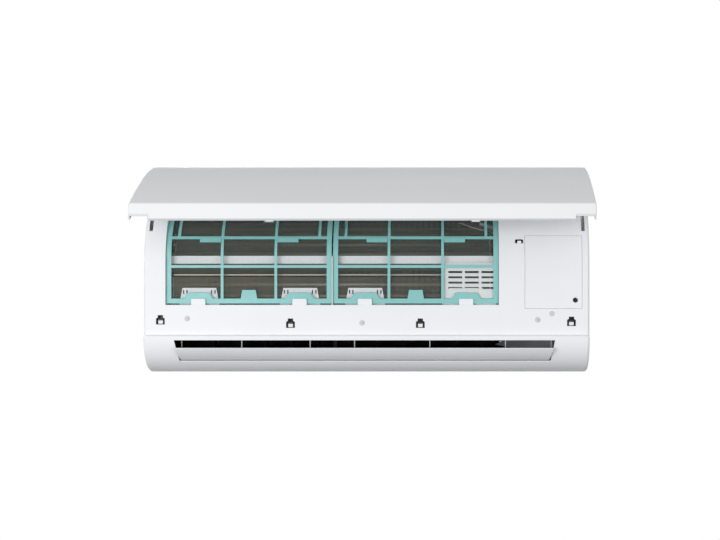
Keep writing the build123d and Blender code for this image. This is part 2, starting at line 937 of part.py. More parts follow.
filter_spans = {
    "left": (window_left + filter_play, filter_split - filter_gap / 2),
    "right": (filter_split + filter_gap / 2, window_right - filter_play),
}
for side, (left, right) in filter_spans.items():
    middle = span(left, right)
    with BuildPart() as filter_frame:
        add(slab(along_filter(0, filter_length, filter_thick), left, right))
        for first, last in cell_rows():
            opening = along_filter(first, last, 2 * filter_thick)
            for cell_left, cell_right in cell_columns(left, right, middle):
                add(slab(opening, cell_left, cell_right), mode=Mode.SUBTRACT)
        border_rise = filter_foot + filter_border
        add(filter_front(middle, tab_width, tab_width - 5, border_rise - 1, filter_foot + tab_rise))
        for offset_side in (-1, 1):
            place = middle + offset_side * tongue_offset
            lobe_head = border_rise + foot_lobe_rise
            add(filter_front(place, foot_lobe_width, foot_lobe_top, border_rise - 1, lobe_head))
        # narrow side cells in the upper rows, and finger lips under the second rib
        side_rib_start = filter_row_ends[1]
        side_rib = along_filter(side_rib_start, filter_length - filter_border / 2, filter_thick)
        for place in (left + side_cell, right - side_cell):
            add(slab(side_rib, place - filter_rib / 2, place + filter_rib / 2))
        for place in (middle - lip_offset, middle + lip_offset):
            lip = along_filter(lip_low, lip_low + lip_height, filter_thick + 1, -1)
            add(slab(lip, place - lip_width / 2, place + lip_width / 2))
    save(filter_frame.part, f"filter_{side}_frame")

    with BuildPart() as filter_net:
        depth = filter_thick / 2 + net_thick / 2
        net = along_filter(filter_border / 2, filter_length - filter_border / 2, net_thick, depth)
        add(slab(net, left + filter_border / 2, right - filter_border / 2))
    save(filter_net.part, f"filter_{side}_net")


# ================================================================ white grille behind the right filter
with BuildPart() as side_grille:
    grille_sheet = along_filter(window_sill - filter_foot, grille_end, grille_thick, grille_depth)
    add(slab(grille_sheet, grille_left, grille_right))
    for row in range(grille_rows):
        slot_start = grille_slot_start + row * grille_slot_pitch
        slot = along_filter(slot_start, slot_start + grille_slot_height, 3 * grille_thick, grille_depth)
        for column in (-1, 0, 1):
            slot_left = span(grille_left, grille_right) + column * grille_column - grille_slot_width / 2
            add(slab(slot, slot_left, slot_left + grille_slot_width), mode=Mode.SUBTRACT)
save(side_grille.part, "side_grille")


# ================================================================ evaporator coil
def coil_outline(ends):
    """Side outline of one straight block of fins, from the ends of its middle line."""
    (out_a, rise_a), (out_b, rise_b) = ends
    length = hypot(out_b - out_a, rise_b - rise_a)
    with BuildSketch() as block_outline:
        with Locations(Location((span(out_a, out_b), up(span(rise_a, rise_b))), coil_angle(ends))):
            Rectangle(length, coil_thick)
    return block_outline.sketch


def coil_angle(ends):
    """Direction of a fin block's middle line."""
    (out_a, rise_a), (out_b, rise_b) = ends
    return degrees(atan2(rise_b - rise_a, out_b - out_a))


def tube_places(ends):
    """Middles of the tube rows of a fin block, two abreast along its length."""
    (out_a, rise_a), (out_b, rise_b) = ends
    length = hypot(out_b - out_a, rise_b - rise_a)
    count = int(length // tube_pitch)
    grid = GridLocations(tube_pitch, tube_row, count, 2)
    frame = Location((span(out_a, out_b), up(span(rise_a, rise_b))), coil_angle(ends))
    return [(frame * place).position for place in grid]


gas_exit, liquid_exit = [
    tuple(top + share * (foot - top) for top, foot in zip(*coil_rear))
    for share in (gas_share, liquid_share)
]
coil_blocks = {"front": coil_front, "upper": coil_upper, "rear": coil_rear}
for name, ends in coil_blocks.items():
    with BuildPart() as fins:
        add(slab(coil_outline(ends), coil_left, coil_right))
    save(fins.part, f"coil_{name}_fins")

for side, face in (("left", coil_left), ("right", coil_right)):
    outward = 1 if side == "right" else -1
    with BuildPart() as end_plate:
        for ends in coil_blocks.values():
            plate_faces = sorted((face, face + outward * plate_thick))
            add(slab(coil_outline(ends), *plate_faces))
    save(end_plate.part, f"coil_{side}_plates")

    # each bend joins the two tubes abreast
    with BuildPart() as bends:
        bend_start = face + outward * plate_thick
        for ends in coil_blocks.values():
            places = tube_places(ends)
            for one, other in zip(places[0::2], places[1::2]):
                middle, step = (one + other) / 2, other - one
                way = Vector(outward, 0, 0)
                origin = (bend_start, -middle.X, middle.Y)
                bend_plane = Plane(origin, way, way.cross(Vector(0, -step.X, step.Y)).normalized())
                half = step.length / 2
                straight = bend_reach - half - tube_radius
                with BuildLine(bend_plane) as bend_line:
                    stub = Line((0, -half), (straight, -half))
                    turn = ThreePointArc(stub @ 1, (straight + half, 0), (straight, half))
                    Line(turn @ 1, (0, half))
                with BuildSketch(Plane(origin=bend_line.line @ 0, z_dir=bend_line.line % 0)):
                    Circle(tube_radius)
                sweep(path=bend_line.line)
    save(bends.part, f"coil_{side}_bends")


# ================================================================ cross-flow fan
fan_centre = (fan_out, up(fan_rise))


def fan_disc(left, right, radius, bore):
    """Disc or ring about the fan's axis."""
    with BuildPart() as disc:
        with BuildSketch(side_plane(right)):
            with Locations(fan_centre):
                Circle(radius)
                if bore:
                    Circle(bore, mode=Mode.SUBTRACT)
        extrude(amount=right - left)
    return disc.part


with BuildPart() as fan_rotor:
    with BuildSketch(side_plane(fan_right)):
        with Locations(fan_centre):
            with PolarLocations(fan_radius - blade_chord / 2, fan_blades):
                Rectangle(blade_chord, blade_thick, rotation=blade_angle)
    extrude(amount=fan_right - fan_left)
    ring_gap = (fan_right - fan_left - fan_disc_thick) / fan_rings
    for i in range(fan_rings + 1):
        start = fan_left + i * ring_gap
        bore = 0 if i in (0, fan_rings) else fan_radius - blade_chord - 1
        add(fan_disc(start, start + fan_disc_thick, fan_radius, bore))
    add(fan_disc(bearing_left, fan_left, shaft_radius, 0))
    add(fan_disc(fan_right, fan_right + hub_length, hub_radius, 0))
    add(fan_disc(fan_right, motor_left + shaft_seat, shaft_radius, 0))
save(fan_rotor.part, "fan_rotor")

with BuildPart() as fan_bearing:
    add(fan_disc(bearing_left, bearing_right, bearing_radius, shaft_radius + pin_play))
save(fan_bearing.part, "fan_bearing")

with BuildPart() as fan_motor:
    add(fan_disc(motor_left, motor_right, motor_radius, 0))
    end_rims = fan_motor.edges().filter_by(GeomType.CIRCLE)
    fillet(end_rims, radius=motor_round)
    shaft_bore = fan_disc(motor_left, motor_left + shaft_seat + pin_play, shaft_radius + pin_play, 0)
    add(shaft_bore, mode=Mode.SUBTRACT)
save(fan_motor.part, "fan_motor")

with BuildPart() as motor_clamp:
    with BuildSketch(side_plane(clamp_right)):
        with Locations(fan_centre):
            Circle(motor_radius + clamp_thick)
        with Locations((span(chassis_skin, fan_out), up(fan_rise))):
            Rectangle(fan_out - chassis_skin, 2 * clamp_thick)
        with Locations(fan_centre):
            Circle(motor_radius, mode=Mode.SUBTRACT)
    extrude(amount=clamp_width)
save(motor_clamp.part, "motor_clamp")


# ================================================================ rear chassis
floor_slope = degrees(atan2(floor_end[1] - floor_start[1], floor_end[0] - floor_start[0]))


def plate_outline():
    """Side outline of the chassis's end plates, clear of casing, outlet duct and coil tray."""
    with BuildSketch() as plate:
        with BuildLine():
            Polyline(
                (casing_back, up(recess_low)),
                (plate_foot, up(recess_low)),
                (plate_foot, up(floor_start[1] + 2 * duct_wall)),
                (tray_back - 1, up(tray_low)),
                (plate_front, up(tray_low)),
                (plate_front, up(coil_upper[0][1])),
                (coil_upper[1][0] + coil_thick / 2, up(coil_upper[1][1] + coil_thick / 2)),
                (pivot_out - coil_thick, up(plate_crest)),
                (casing_back, up(plate_crest)),
                close=True,
            )
        make_face()
    return plate.sketch


with BuildPart() as rear_chassis:
    # scroll behind the fan, back wall, pipe recess and drip trough, between the left and middle plates
    with BuildSketch(side_plane(mid_plate)):
        with BuildLine():
            face = Spline(*[(out, up(rise)) for out, rise in scroll_points])
            back = Spline(*[(out - chassis_wall, up(rise - 1)) for out, rise in scroll_points])
            Line(face @ 0, back @ 0)
            Line(face @ 1, back @ 1)
        make_face()
        with Locations((span(casing_back, chassis_skin), up(span(recess_top, chassis_top)))):
            Rectangle(chassis_wall, chassis_top - recess_top)
        for back, front, low, high in (
            (casing_back, recess_front + chassis_wall, recess_top, recess_top + chassis_wall),
            (recess_front, recess_front + chassis_wall, recess_low, recess_top),
            (casing_back, plate_foot, recess_low, recess_low + chassis_wall),
            (casing_back, trough_front, trough_rise, trough_rise + chassis_wall),
            (trough_front, trough_front + chassis_wall, trough_rise, trough_rise + 3 * chassis_wall),
        ):
            with Locations((span(back, front), up(span(low, high)))):
                Rectangle(front - back, high - low)
    extrude(amount=mid_plate - chassis_left)
    add(block(mid_plate, chassis_right, casing_back, chassis_skin, recess_top, chassis_top))

    for right_face in (chassis_left + chassis_wall, mid_plate + chassis_wall, chassis_right):
        with BuildSketch(side_plane(right_face)):
            add(plate_outline())
        extrude(amount=chassis_wall)
    add(fan_disc(chassis_left, bearing_right, bearing_radius + chassis_wall, bearing_radius))

    # openings for the shaft, the pipes and the drain, the wall plate's hooks and the pipes' way out
    with BuildSketch(side_plane(mid_plate + chassis_wall)):
        with Locations(fan_centre):
            Circle(hub_radius + 2)
        with Locations((span(0, recess_front), up(span(recess_low + chassis_wall, recess_top)))):
            Rectangle(recess_front, recess_top - recess_low - chassis_wall)
        for out, rise, radius in (
            (*gas_exit, gas_pipe + slot_play),
            (*liquid_exit, liquid_pipe + slot_play),
            (drain_out, drain_rise, 2 * chassis_wall),
        ):
            with Locations((out, up(rise))):
                Circle(radius)
    extrude(amount=chassis_wall, mode=Mode.SUBTRACT)
    for side in (-1, 1):
        left, right = side * hook_place - hook_width, side * hook_place + hook_width
        add(block(left, right, 0, 2 * chassis_skin, hook_low, hook_high), mode=Mode.SUBTRACT)
save(rear_chassis.part, "rear_chassis")


# ================================================================ drain tray under the front of the coil
with BuildPart() as drain_tray:
    with BuildSketch(side_plane(mid_plate)):
        with Locations((span(tray_back, tray_front), up(span(tray_low, tray_high)))):
            Rectangle(tray_front - tray_back, tray_high - tray_low)
        with Locations((span(tray_back, tray_front), up(span(tray_low, tray_high) + duct_wall))):
            Rectangle(tray_front - tray_back - 2 * duct_wall, tray_high - tray_low, mode=Mode.SUBTRACT)
    extrude(amount=mid_plate - chassis_left - chassis_wall)
save(drain_tray.part, "drain_tray")


# ================================================================ outlet duct
def duct_space(grow):
    """Side outline of the duct's airway; grow takes in the thickness of its floor and roof."""
    n = Vector(0, grow)
    floor_a, floor_b = [Vector(out, up(rise)) - n for out, rise in (floor_start, floor_end)]
    roof_a, roof_b = [Vector(out, up(rise)) + n for out, rise in (roof_start, roof_end)]
    with BuildSketch() as space:
        with BuildLine():
            Polyline(floor_a, floor_b, roof_b, roof_a, close=True)
        make_face()
    return space.sketch


def floor_plane(x):
    """Side plane at the vanes' pivot on the duct's floor. Its x runs down the floor."""
    c, s = cos(radians(floor_slope)), sin(radians(floor_slope))
    return Plane(origin=(x, -vane_out, vane_foot), x_dir=(0, -c, s), z_dir=(-1, 0, 0))


def across_floor(x, along, height_over):
    """Plane parallel to the duct's floor at a place along it and a height over it."""
    flat = floor_plane(x)
    origin = flat.from_local_coords((along, height_over, 0))
    return Plane(origin=origin, x_dir=(1, 0, 0), z_dir=flat.y_dir)


vane_foot = up(floor_start[1]) + (vane_out - floor_start[0]) * tan(radians(floor_slope))
vane_places = {
    side: [first + i * (last - first) / (vane_count - 1) for i in range(vane_count)]
    for side, (first, last) in vane_rooms.items()
}

with BuildPart() as outlet_duct:
    with BuildSketch(side_plane(throat_end)):
        add(duct_space(duct_wall))
        add(duct_space(0), mode=Mode.SUBTRACT)
    extrude(amount=throat_end - throat_start)
    for right_face in (throat_start + duct_wall, throat_end):
        with BuildSketch(side_plane(right_face)):
            add(duct_space(duct_wall))
            with BuildLine():
                Polyline(
                    (floor_end[0] - 1, up(floor_end[1] - duct_wall)),
                    (flap_pivot_out + 2, up(floor_end[1] - duct_wall)),
                    (roof_end[0] + 2, up(roof_end[1])),
                    (roof_end[0] - 2, up(roof_end[1] + duct_wall)),
                    close=True,
                )
            make_face()
            with Locations(lower_centre):
                Circle(lower_radius - flap_thick, mode=Mode.INTERSECT)
            with Locations(flap_pivot):
                Circle(flap_pin + pin_play, mode=Mode.SUBTRACT)
        extrude(amount=duct_wall)
    # a hanger in the middle carries the flap between its ends
    with BuildSketch(side_plane(hanger_place + hanger_thick / 2)):
        with BuildLine():
            Polyline(
                (flap_pivot_out - hanger_boss, flap_pivot[1]),
                (flap_pivot_out + hanger_boss, flap_pivot[1]),
                (roof_end[0] - hanger_front[0], up(roof_end[1] + hanger_front[1])),
                (roof_end[0] - hanger_back[0], up(roof_end[1] + hanger_back[1])),
                close=True,
            )
        make_face()
        with Locations(flap_pivot):
            Circle(hanger_boss)
            Circle(flap_pin + pin_play, mode=Mode.SUBTRACT)
    extrude(amount=hanger_thick)
    for places in vane_places.values():
        for x in places:
            with BuildSketch(across_floor(x, 0, duct_wall)):
                Circle(vane_pin + vane_play)
            extrude(amount=-4 * duct_wall, mode=Mode.SUBTRACT)
save(outlet_duct.part, "outlet_duct")

with BuildPart() as guard_bars:
    for x in guard_places:
        with BuildSketch(side_plane(x + guard_thick / 2)):
            with BuildLine() as bar_line:
                Line((guard_out + guard_lean, up(roof_start[1])), (guard_out - guard_lean, up(0)))
            trace(bar_line.edges(), line_width=guard_width)
            add(duct_space(0), mode=Mode.INTERSECT)
        extrude(amount=guard_thick)
save(guard_bars.part, "guard_bars")

with BuildPart() as duct_cheek:
    with BuildSketch(Plane.XY.offset(-mid)):
        with BuildLine():
            Polyline(
                (throat_right, -cheek_back),
                (throat_end - duct_wall, -cheek_front),
                (throat_end - duct_wall, -cheek_front + 2),
                (throat_right, -cheek_back + 2),
                close=True,
            )
        make_face()
    extrude(amount=height)
    add(slab(duct_space(0), throat_right - 5, throat_end - duct_wall), mode=Mode.INTERSECT)
save(duct_cheek.part, "duct_cheek")


# ================================================================ flap
with BuildSketch() as lug:
    lower_hub = Vector(*lower_centre)
    lug_root = Vector(*flap_pivot)
    lug_way = (lug_root - lower_hub).normalized()
    lug_side = lug_way.rotate(Axis.Z, 90) * lug_width / 2
    lug_tip = lower_hub + lug_way * (lower_radius - flap_thick / 2)
    with BuildLine():
        near_side = Line(lug_root - lug_side, lug_tip - lug_side)
        far_side = Line(lug_tip + lug_side, lug_root + lug_side)
        Line(near_side @ 1, far_side @ 0)
        Line(far_side @ 1, near_side @ 0)
    make_face()
    with Locations(flap_pivot):
        Circle(lug_round)

with BuildPart() as shut_flap:
    flap_blade = lower_sector(flap_top, flap_bottom, lower_radius - flap_thick, lower_radius)
    add(slab(flap_blade, outlet_left, outlet_right))
    add(outlet_mouth(-flap_play / 2), mode=Mode.INTERSECT)
    for left, right in lug_spans:
        add(slab(lug.sketch, left, right))
    for left, right in pin_spans:
        with BuildSketch(side_plane(right)):
            with Locations(flap_pivot):
                Circle(flap_pin)
        extrude(amount=right - left)
flap = shut_flap.part.rotate(Axis((0, -flap_pivot[0], flap_pivot[1]), (1, 0, 0)), flap_open)
save(flap, "flap")

with BuildPart() as flap_motor:
    with BuildSketch(side_plane(throat_end + step_motor_thick)):
        with Locations(lug_root - lug_way * step_motor_offset):
            Circle(step_motor_radius)
    extrude(amount=step_motor_thick)
save(flap_motor.part, "flap_motor")


# ================================================================ vanes and their link bars
for side, places in vane_places.items():
    for number, x in enumerate(places, start=1):
        with BuildPart() as vane:
            with BuildSketch(floor_plane(x + vane_thick / 2)):
                with BuildLine():
                    Polyline(
                        (-vane_back, vane_lift),
                        (vane_front - 4, vane_lift),
                        (vane_front, 8),
                        (vane_front, vane_rise),
                        (-vane_back, vane_rise),
                        (-vane_back, link_height - 1),
                        (-vane_arm - 2.5, link_height - 1),
                        (-vane_arm - 2.5, link_height - 5),
                        (-vane_back, link_height - 9),
                        close=True,
                    )
                make_face()
            extrude(amount=vane_thick)
            with BuildSketch(across_floor(x, 0, 1.5)):
                Circle(vane_pin)
            extrude(amount=-vane_pin_length)
            with BuildSketch(across_floor(x, -vane_arm, link_height - 2)):
                Circle(vane_pin)
            extrude(amount=link_thick + 2.5)
        save(vane.part, f"vane_{side}_{number}")
    with BuildPart() as link_bar:
        with BuildSketch(across_floor(span(places[0], places[-1]), -vane_arm, link_height - 0.8)):
            SlotOverall(places[-1] - places[0] + 2 * link_width, link_width)
            with GridLocations(places[1] - places[0], 0, vane_count, 1):
                Circle(vane_pin + vane_play, mode=Mode.SUBTRACT)
        extrude(amount=link_thick)
    save(link_bar.part, f"vane_{side}_link")


# ================================================================ intake grille in the crest
with BuildPart() as intake_grille:
    with BuildSketch(Plane.XY.offset(mid - wall)):
        middle = (span(intake_left, intake_right), -span(intake_back, intake_front))
        inner_x = intake_right - intake_left - 2 * gap
        inner_y = intake_front - intake_back - 2 * gap
        pitch_x, pitch_y = inner_x / intake_columns, inner_y / intake_rows
        with Locations(middle):
            Rectangle(inner_x, inner_y)
            with GridLocations(pitch_x, pitch_y, intake_columns, intake_rows):
                Rectangle(pitch_x - intake_bar, pitch_y - intake_bar, mode=Mode.SUBTRACT)
    extrude(amount=wall)
save(intake_grille.part, "intake_grille")


# ================================================================ small pieces in the casing's face
with BuildPart() as latch_sockets:
    socket_places = [(x, up(rise)) for x, rise in sockets]
    with BuildSketch(front_plane(casing_face - socket_depth)):
        with Locations(socket_places):
            add(socket_outline(0))
    extrude(amount=socket_depth - gap)
    with BuildSketch(front_plane(casing_face - socket_depth + socket_wall)):
        with Locations(socket_places):
            add(socket_outline(socket_wall))
    extrude(amount=socket_depth, mode=Mode.SUBTRACT)
save(latch_sockets.part, "latch_sockets")

# a white catch stands on the floor of each socket, under the way of the panel's clip
with BuildPart() as latch_catches:
    catch_foot = socket_height / 2 - socket_wall
    with BuildSketch(front_plane(casing_face - socket_depth + socket_wall)):
        with Locations([(x, up(rise) - catch_foot + catch_rise / 2) for x, rise in sockets]):
            RectangleRounded(catch_width, catch_rise, catch_round)
    extrude(amount=socket_depth - socket_wall - catch_depth)
save(latch_catches.part, "latch_catches")

with BuildPart() as screw_caps:
    with BuildSketch(front_plane(casing_face - wall)):
        with Locations([(x, up(rise)) for x, rise in case_screws]):
            Circle(cap_radius)
    extrude(amount=wall + cap_proud)
save(screw_caps.part, "screw_caps")

with BuildPart() as manual_button:
    with BuildSketch(front_plane(casing_face - 2 * wall)):
        with Locations((button_x, up(button_rise))):
            Circle(button_radius)
    extrude(amount=2 * wall + button_proud)
    with BuildSketch(front_plane(casing_face - 2 * wall)):
        with Locations((button_x, up(button_rise))):
            Circle(button_radius + slot_play)
    extrude(amount=wall - gap)
save(manual_button.part, "manual_button")


# ================================================================ electrical cover and box
with BuildPart() as electrical_cover:
    screw_place = (screw_x, up(screw_rise))
    well_floor = casing_face - screw_well + well_wall
    add(slab(face_layer(0, cover_thick), service_left + gap, service_right - gap))
    with BuildSketch(front_plane(0)):
        with Locations(service_middle):
            Rectangle(service_width - 2 * gap, service_height - 2 * gap)
    extrude(amount=width, mode=Mode.INTERSECT)
    with BuildSketch(front_plane(casing_face - screw_well)):
        with Locations(screw_place):
            Circle(screw_radius + slot_play + well_wall)
    extrude(amount=screw_well)
    with BuildSketch(front_plane(well_floor)):
        with Locations(screw_place):
            Circle(screw_radius + slot_play)
    extrude(amount=screw_well, mode=Mode.SUBTRACT)
    with BuildSketch(front_plane(casing_face - 2 * screw_well)):
        with Locations(screw_place):
            Circle(screw_shank + pin_play)
    extrude(amount=2 * screw_well, mode=Mode.SUBTRACT)
save(electrical_cover.part, "electrical_cover")

with BuildPart() as cover_screw:
    with BuildSketch(front_plane(well_floor)):
        with Locations(screw_place):
            Circle(screw_radius)
    extrude(amount=screw_head)
    with BuildSketch(front_plane(well_floor - screw_length)):
        with Locations(screw_place):
            Circle(screw_shank)
    extrude(amount=screw_length)
    with BuildSketch(front_plane(well_floor + screw_head)):
        with Locations(screw_place):
            Rectangle(screw_radius, cross_width)
            Rectangle(cross_width, screw_radius)
    extrude(amount=-screw_head / 2, mode=Mode.SUBTRACT)
save(cover_screw.part, "cover_screw")

with BuildPart() as electrical_box:
    add(block(box_left, box_right, box_back, box_front, box_low, box_high))
    add(
        block(
            box_left + box_wall,
            box_right - box_wall,
            box_back + box_wall,
            box_front + box_wall,
            box_low + box_wall,
            box_high - box_wall,
        ),
        mode=Mode.SUBTRACT,
    )
save(electrical_box.part, "electrical_box")

with BuildPart() as control_board:
    edge = 2 * box_wall
    board_x = span(box_left, box_right)
    board_rise = span(box_low, box_high)
    relay_x = board_x - relay_width
    pack_x = board_x + coil_pack_width
    add(block(box_left + edge, box_right - edge, board_out, board_front, box_low + edge, box_high - edge))
    with BuildSketch(front_plane(board_front)):
        with Locations((relay_x, up(board_rise + relay_height))):
            with GridLocations(0, 1.5 * relay_height, 1, 2):
                Rectangle(relay_width, relay_height)
        with Locations((pack_x, up(board_rise + coil_pack_height / 4))):
            Rectangle(coil_pack_width, coil_pack_height)
    extrude(amount=block_proud)
save(control_board.part, "control_board")

with BuildPart() as capacitors:
    with BuildSketch(front_plane(board_front)):
        with Locations((relay_x, up(board_rise - 2 * can_radius))):
            Circle(can_radius)
        with Locations((pack_x, up(board_rise + coil_pack_height / 4 + 3.5 * can_radius))):
            Circle(can_radius)
    extrude(amount=can_proud)
    top_rims = capacitors.faces().group_by(Axis.Y)[0].edges()
    fillet(top_rims, radius=board_thick / 2)
save(capacitors.part, "capacitors")

with BuildPart() as terminal_block:
    add(block(terminal_left, terminal_right, board_front, terminal_front, terminal_low, terminal_high))
    with BuildSketch(front_plane(terminal_front)):
        with Locations((span(terminal_left, terminal_right), up(span(terminal_low, terminal_high)))):
            with GridLocations(terminal_pitch, terminal_row, 3, 2):
                Rectangle(terminal_cell_width, terminal_cell_height)
    extrude(amount=-terminal_cell_depth, mode=Mode.SUBTRACT)
save(terminal_block.part, "terminal_block")

with BuildPart() as switch_block:
    switch_front = casing_face - 2 * wall - button_travel - gap
    with BuildSketch(front_plane(board_front)):
        with Locations((button_x, up(button_rise))):
            Rectangle(switch_side, switch_height)
    extrude(amount=switch_front - board_front)
save(switch_block.part, "switch_block")


# ================================================================ refrigerant pipes, drain and wall plate
def pipe_run(points, bend, radius, bore=0):
    """Round pipe or sleeve along a bent line. Points are (along X, out from wall, above foot)."""
    stations = [(x, -out, up(rise)) for x, out, rise in points]
    with BuildPart() as pipe:
        with BuildLine() as centre:
            FilletPolyline(*stations, radius=bend)
        with BuildSketch(Plane(origin=centre.line @ 0, z_dir=centre.line % 0)):
            Circle(radius)
            if bore:
                Circle(bore, mode=Mode.SUBTRACT)
        sweep(path=centre.line)
    return pipe.part


def round_bar(left, right, out, rise, radius):
    """Round bar along X."""
    with BuildPart() as bar:
        with BuildSketch(side_plane(right)):
            with Locations((out, up(rise))):
                Circle(radius)
        extrude(amount=right - left)
    return bar.part


coil_face = coil_right + plate_thick
with BuildPart() as gas_line:
    gas_points = [
        (coil_face, *gas_exit),
        (gas_x, *gas_exit),
        (gas_x, gas_out, gas_exit[1]),
        (gas_x, gas_out, gas_run),
        (gas_end, gas_out, gas_run),
    ]
    add(pipe_run(gas_points, gas_bend, gas_pipe))
save(gas_line.part, "gas_pipe")

with BuildPart() as foam_sleeve:
    sleeve_points = [
        (gas_x, gas_out, gas_exit[1] - foam_bare),
        (gas_x, gas_out, gas_run),
        (gas_end + foam_short, gas_out, gas_run),
    ]
    add(pipe_run(sleeve_points, gas_bend, gas_pipe + foam_thick, gas_pipe))
save(foam_sleeve.part, "foam_sleeve")

with BuildPart() as liquid_line:
    liquid_points = [
        (coil_face, *liquid_exit),
        (liquid_x, *liquid_exit),
        (liquid_x, liquid_out, liquid_exit[1]),
        (liquid_x, liquid_out, liquid_run),
        (liquid_end, liquid_out, liquid_run),
    ]
    add(pipe_run(liquid_points, liquid_bend, liquid_pipe))
save(liquid_line.part, "liquid_pipe")

with BuildPart() as flare_unions:
    for end, out, rise, pipe, thread in (
        (gas_end, gas_out, gas_run, gas_pipe, gas_thread),
        (liquid_end, liquid_out, liquid_run, liquid_pipe, liquid_thread),
    ):
        add(round_bar(end - union_length, end - union_hex, out, rise, thread))
        with BuildSketch(side_plane(end)):
            with Locations((out, up(rise))):
                RegularPolygon(thread * union_grow, 6)
        extrude(amount=union_hex)
        add(round_bar(end - union_length, end, out, rise, pipe * union_bore), mode=Mode.SUBTRACT)
save(flare_unions.part, "flare_unions")

with BuildPart() as drain_pipe:
    drain_points = [
        (mid_plate + chassis_wall, drain_out, drain_rise),
        (drain_x, drain_out, drain_rise),
        (drain_x, drain_out, drain_run),
        (drain_end, drain_out, drain_run),
    ]
    add(pipe_run(drain_points, drain_bend, drain_radius, drain_radius - drain_wall))
save(drain_pipe.part, "drain_pipe")

with BuildPart() as wall_plate:
    with BuildSketch(front_plane(0)):
        with Locations((0, up(span(plate_low, plate_high)))):
            RectangleRounded(plate_width, plate_high - plate_low, plate_corner)
        with GridLocations(plate_hole_x, plate_hole_z, 2, 2):
            Circle(plate_hole, mode=Mode.SUBTRACT)
        with GridLocations(2 * plate_slot_x, plate_slot_z, 2, 2):
            SlotOverall(plate_slot_length, plate_slot_width, mode=Mode.SUBTRACT)
        for side in (-1, 1):
            with Locations((side * hook_place, up(span(hook_low, hook_high) - hook_play))):
                Rectangle(2 * (hook_width - hook_play), hook_high - hook_low - 4 * hook_play, mode=Mode.SUBTRACT)
    extrude(amount=plate_steel)
    # pressed ribs stand off against the chassis, and hooks carry it by the upper edge of its slots
    for rise in (plate_low + press_inset, plate_high - 3 * press_inset):
        for left, right in (
            (press_inset - plate_width / 2, -press_middle),
            (press_middle, plate_width / 2 - press_inset),
        ):
            add(block(left, right, plate_steel, casing_back, rise, rise + press_height))
    hook_front = 2 * chassis_skin - hook_play
    for side in (-1, 1):
        left = side * hook_place - hook_width + hook_play
        right = side * hook_place + hook_width - hook_play
        add(block(left, right, 0, hook_front, hook_seat, hook_seat + plate_steel))
        add(block(left, right, hook_front - plate_steel, hook_front, hook_seat, hook_seat + hook_lip))
save(wall_plate.part, "wall_plate")
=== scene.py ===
# %% [markdown]
# # An air conditioner's indoor unit with its front panel raised
#
# This lesson dresses a measured model of a wall-mounted indoor unit. The long front panel is
# swung up on its two arms, so that the two teal air filters, the coil behind them, the outlet
# and the small fastenings in the casing's face all show.
#
# The solid parts come from CAD, in metres: X runs to the right, Z runs up, and the wall is
# at Y = 0 with the unit in front of it, at negative Y. Nothing measured is moved here. The
# work is light, finishes, and the fine things that are too thin for CAD: fins, nets and wires.

# %% Load the measured model
import math

import bmesh
import bpy
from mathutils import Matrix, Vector


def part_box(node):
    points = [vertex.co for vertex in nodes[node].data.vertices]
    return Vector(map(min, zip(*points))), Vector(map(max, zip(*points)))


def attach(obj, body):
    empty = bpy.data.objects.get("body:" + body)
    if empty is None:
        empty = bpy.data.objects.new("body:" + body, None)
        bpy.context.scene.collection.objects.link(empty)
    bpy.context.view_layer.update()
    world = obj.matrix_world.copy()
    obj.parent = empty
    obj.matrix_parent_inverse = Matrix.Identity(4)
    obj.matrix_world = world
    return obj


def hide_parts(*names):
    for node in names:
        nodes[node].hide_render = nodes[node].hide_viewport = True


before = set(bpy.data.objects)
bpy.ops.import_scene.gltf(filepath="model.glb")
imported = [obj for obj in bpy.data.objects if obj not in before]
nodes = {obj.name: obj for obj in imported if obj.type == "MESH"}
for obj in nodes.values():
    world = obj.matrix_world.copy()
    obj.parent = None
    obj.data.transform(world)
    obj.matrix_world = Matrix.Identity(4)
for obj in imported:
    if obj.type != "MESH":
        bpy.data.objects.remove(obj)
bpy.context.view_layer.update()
MM = 0.001

# %% [markdown]
# ## The camera
#
# The photograph was taken from about 2.4 m away, level with the top of the unit and a little
# to the right of its middle, and then cropped. A level camera keeps every upright line
# upright. The crop is made with the lens shift, as an architect's camera does it, and not by
# turning the camera, because a turned camera would make the uprights lean.

# %% Camera
PICTURE_WIDE, PICTURE_TALL = 720, 540  # pixels
LENS_ACROSS, LENS_DOWN = 450, 215  # the pixel that the lens points at
CAMERA_PLACE = (0.135, -2.374, 0.1145)
SENSOR_WIDE = 36.0  # mm, the width of a small film frame
FOCAL_LENGTH = 68.1  # mm
FARTHEST_SEEN = 50  # m

camera_data = bpy.data.cameras.new("studio_camera")
camera_data.sensor_width = SENSOR_WIDE
camera_data.lens = FOCAL_LENGTH
camera_data.shift_x = (PICTURE_WIDE / 2 - LENS_ACROSS) / PICTURE_WIDE
camera_data.shift_y = (LENS_DOWN - PICTURE_TALL / 2) / PICTURE_WIDE
camera_data.clip_end = FARTHEST_SEEN
camera = bpy.data.objects.new("studio_camera", camera_data)
camera.location = CAMERA_PLACE
camera.rotation_euler = (math.radians(90), 0, 0)
bpy.context.scene.collection.objects.link(camera)
bpy.context.scene.camera = camera
print("lens shift:", round(camera_data.shift_x, 4), round(camera_data.shift_y, 4))

# %% [markdown]
# ## The white room
#
# A white product on a white ground is the hardest thing to light: the edges vanish as soon as
# anything clips. So the surfaces are lit a little below white, and only the ground seen by
# the camera, or mirrored in something shiny, is pure white. The world does both jobs. Light
# Path tells which kind of ray asks: camera, mirror and see-through rays get full white, and
# all other rays get the softer room light. Most of that comes from the upper front, and
# little from below or from the wall's side. So the nose of the casing turns dark where it
# rolls under, and the raised panel darkens towards its back edge, as in the photograph.

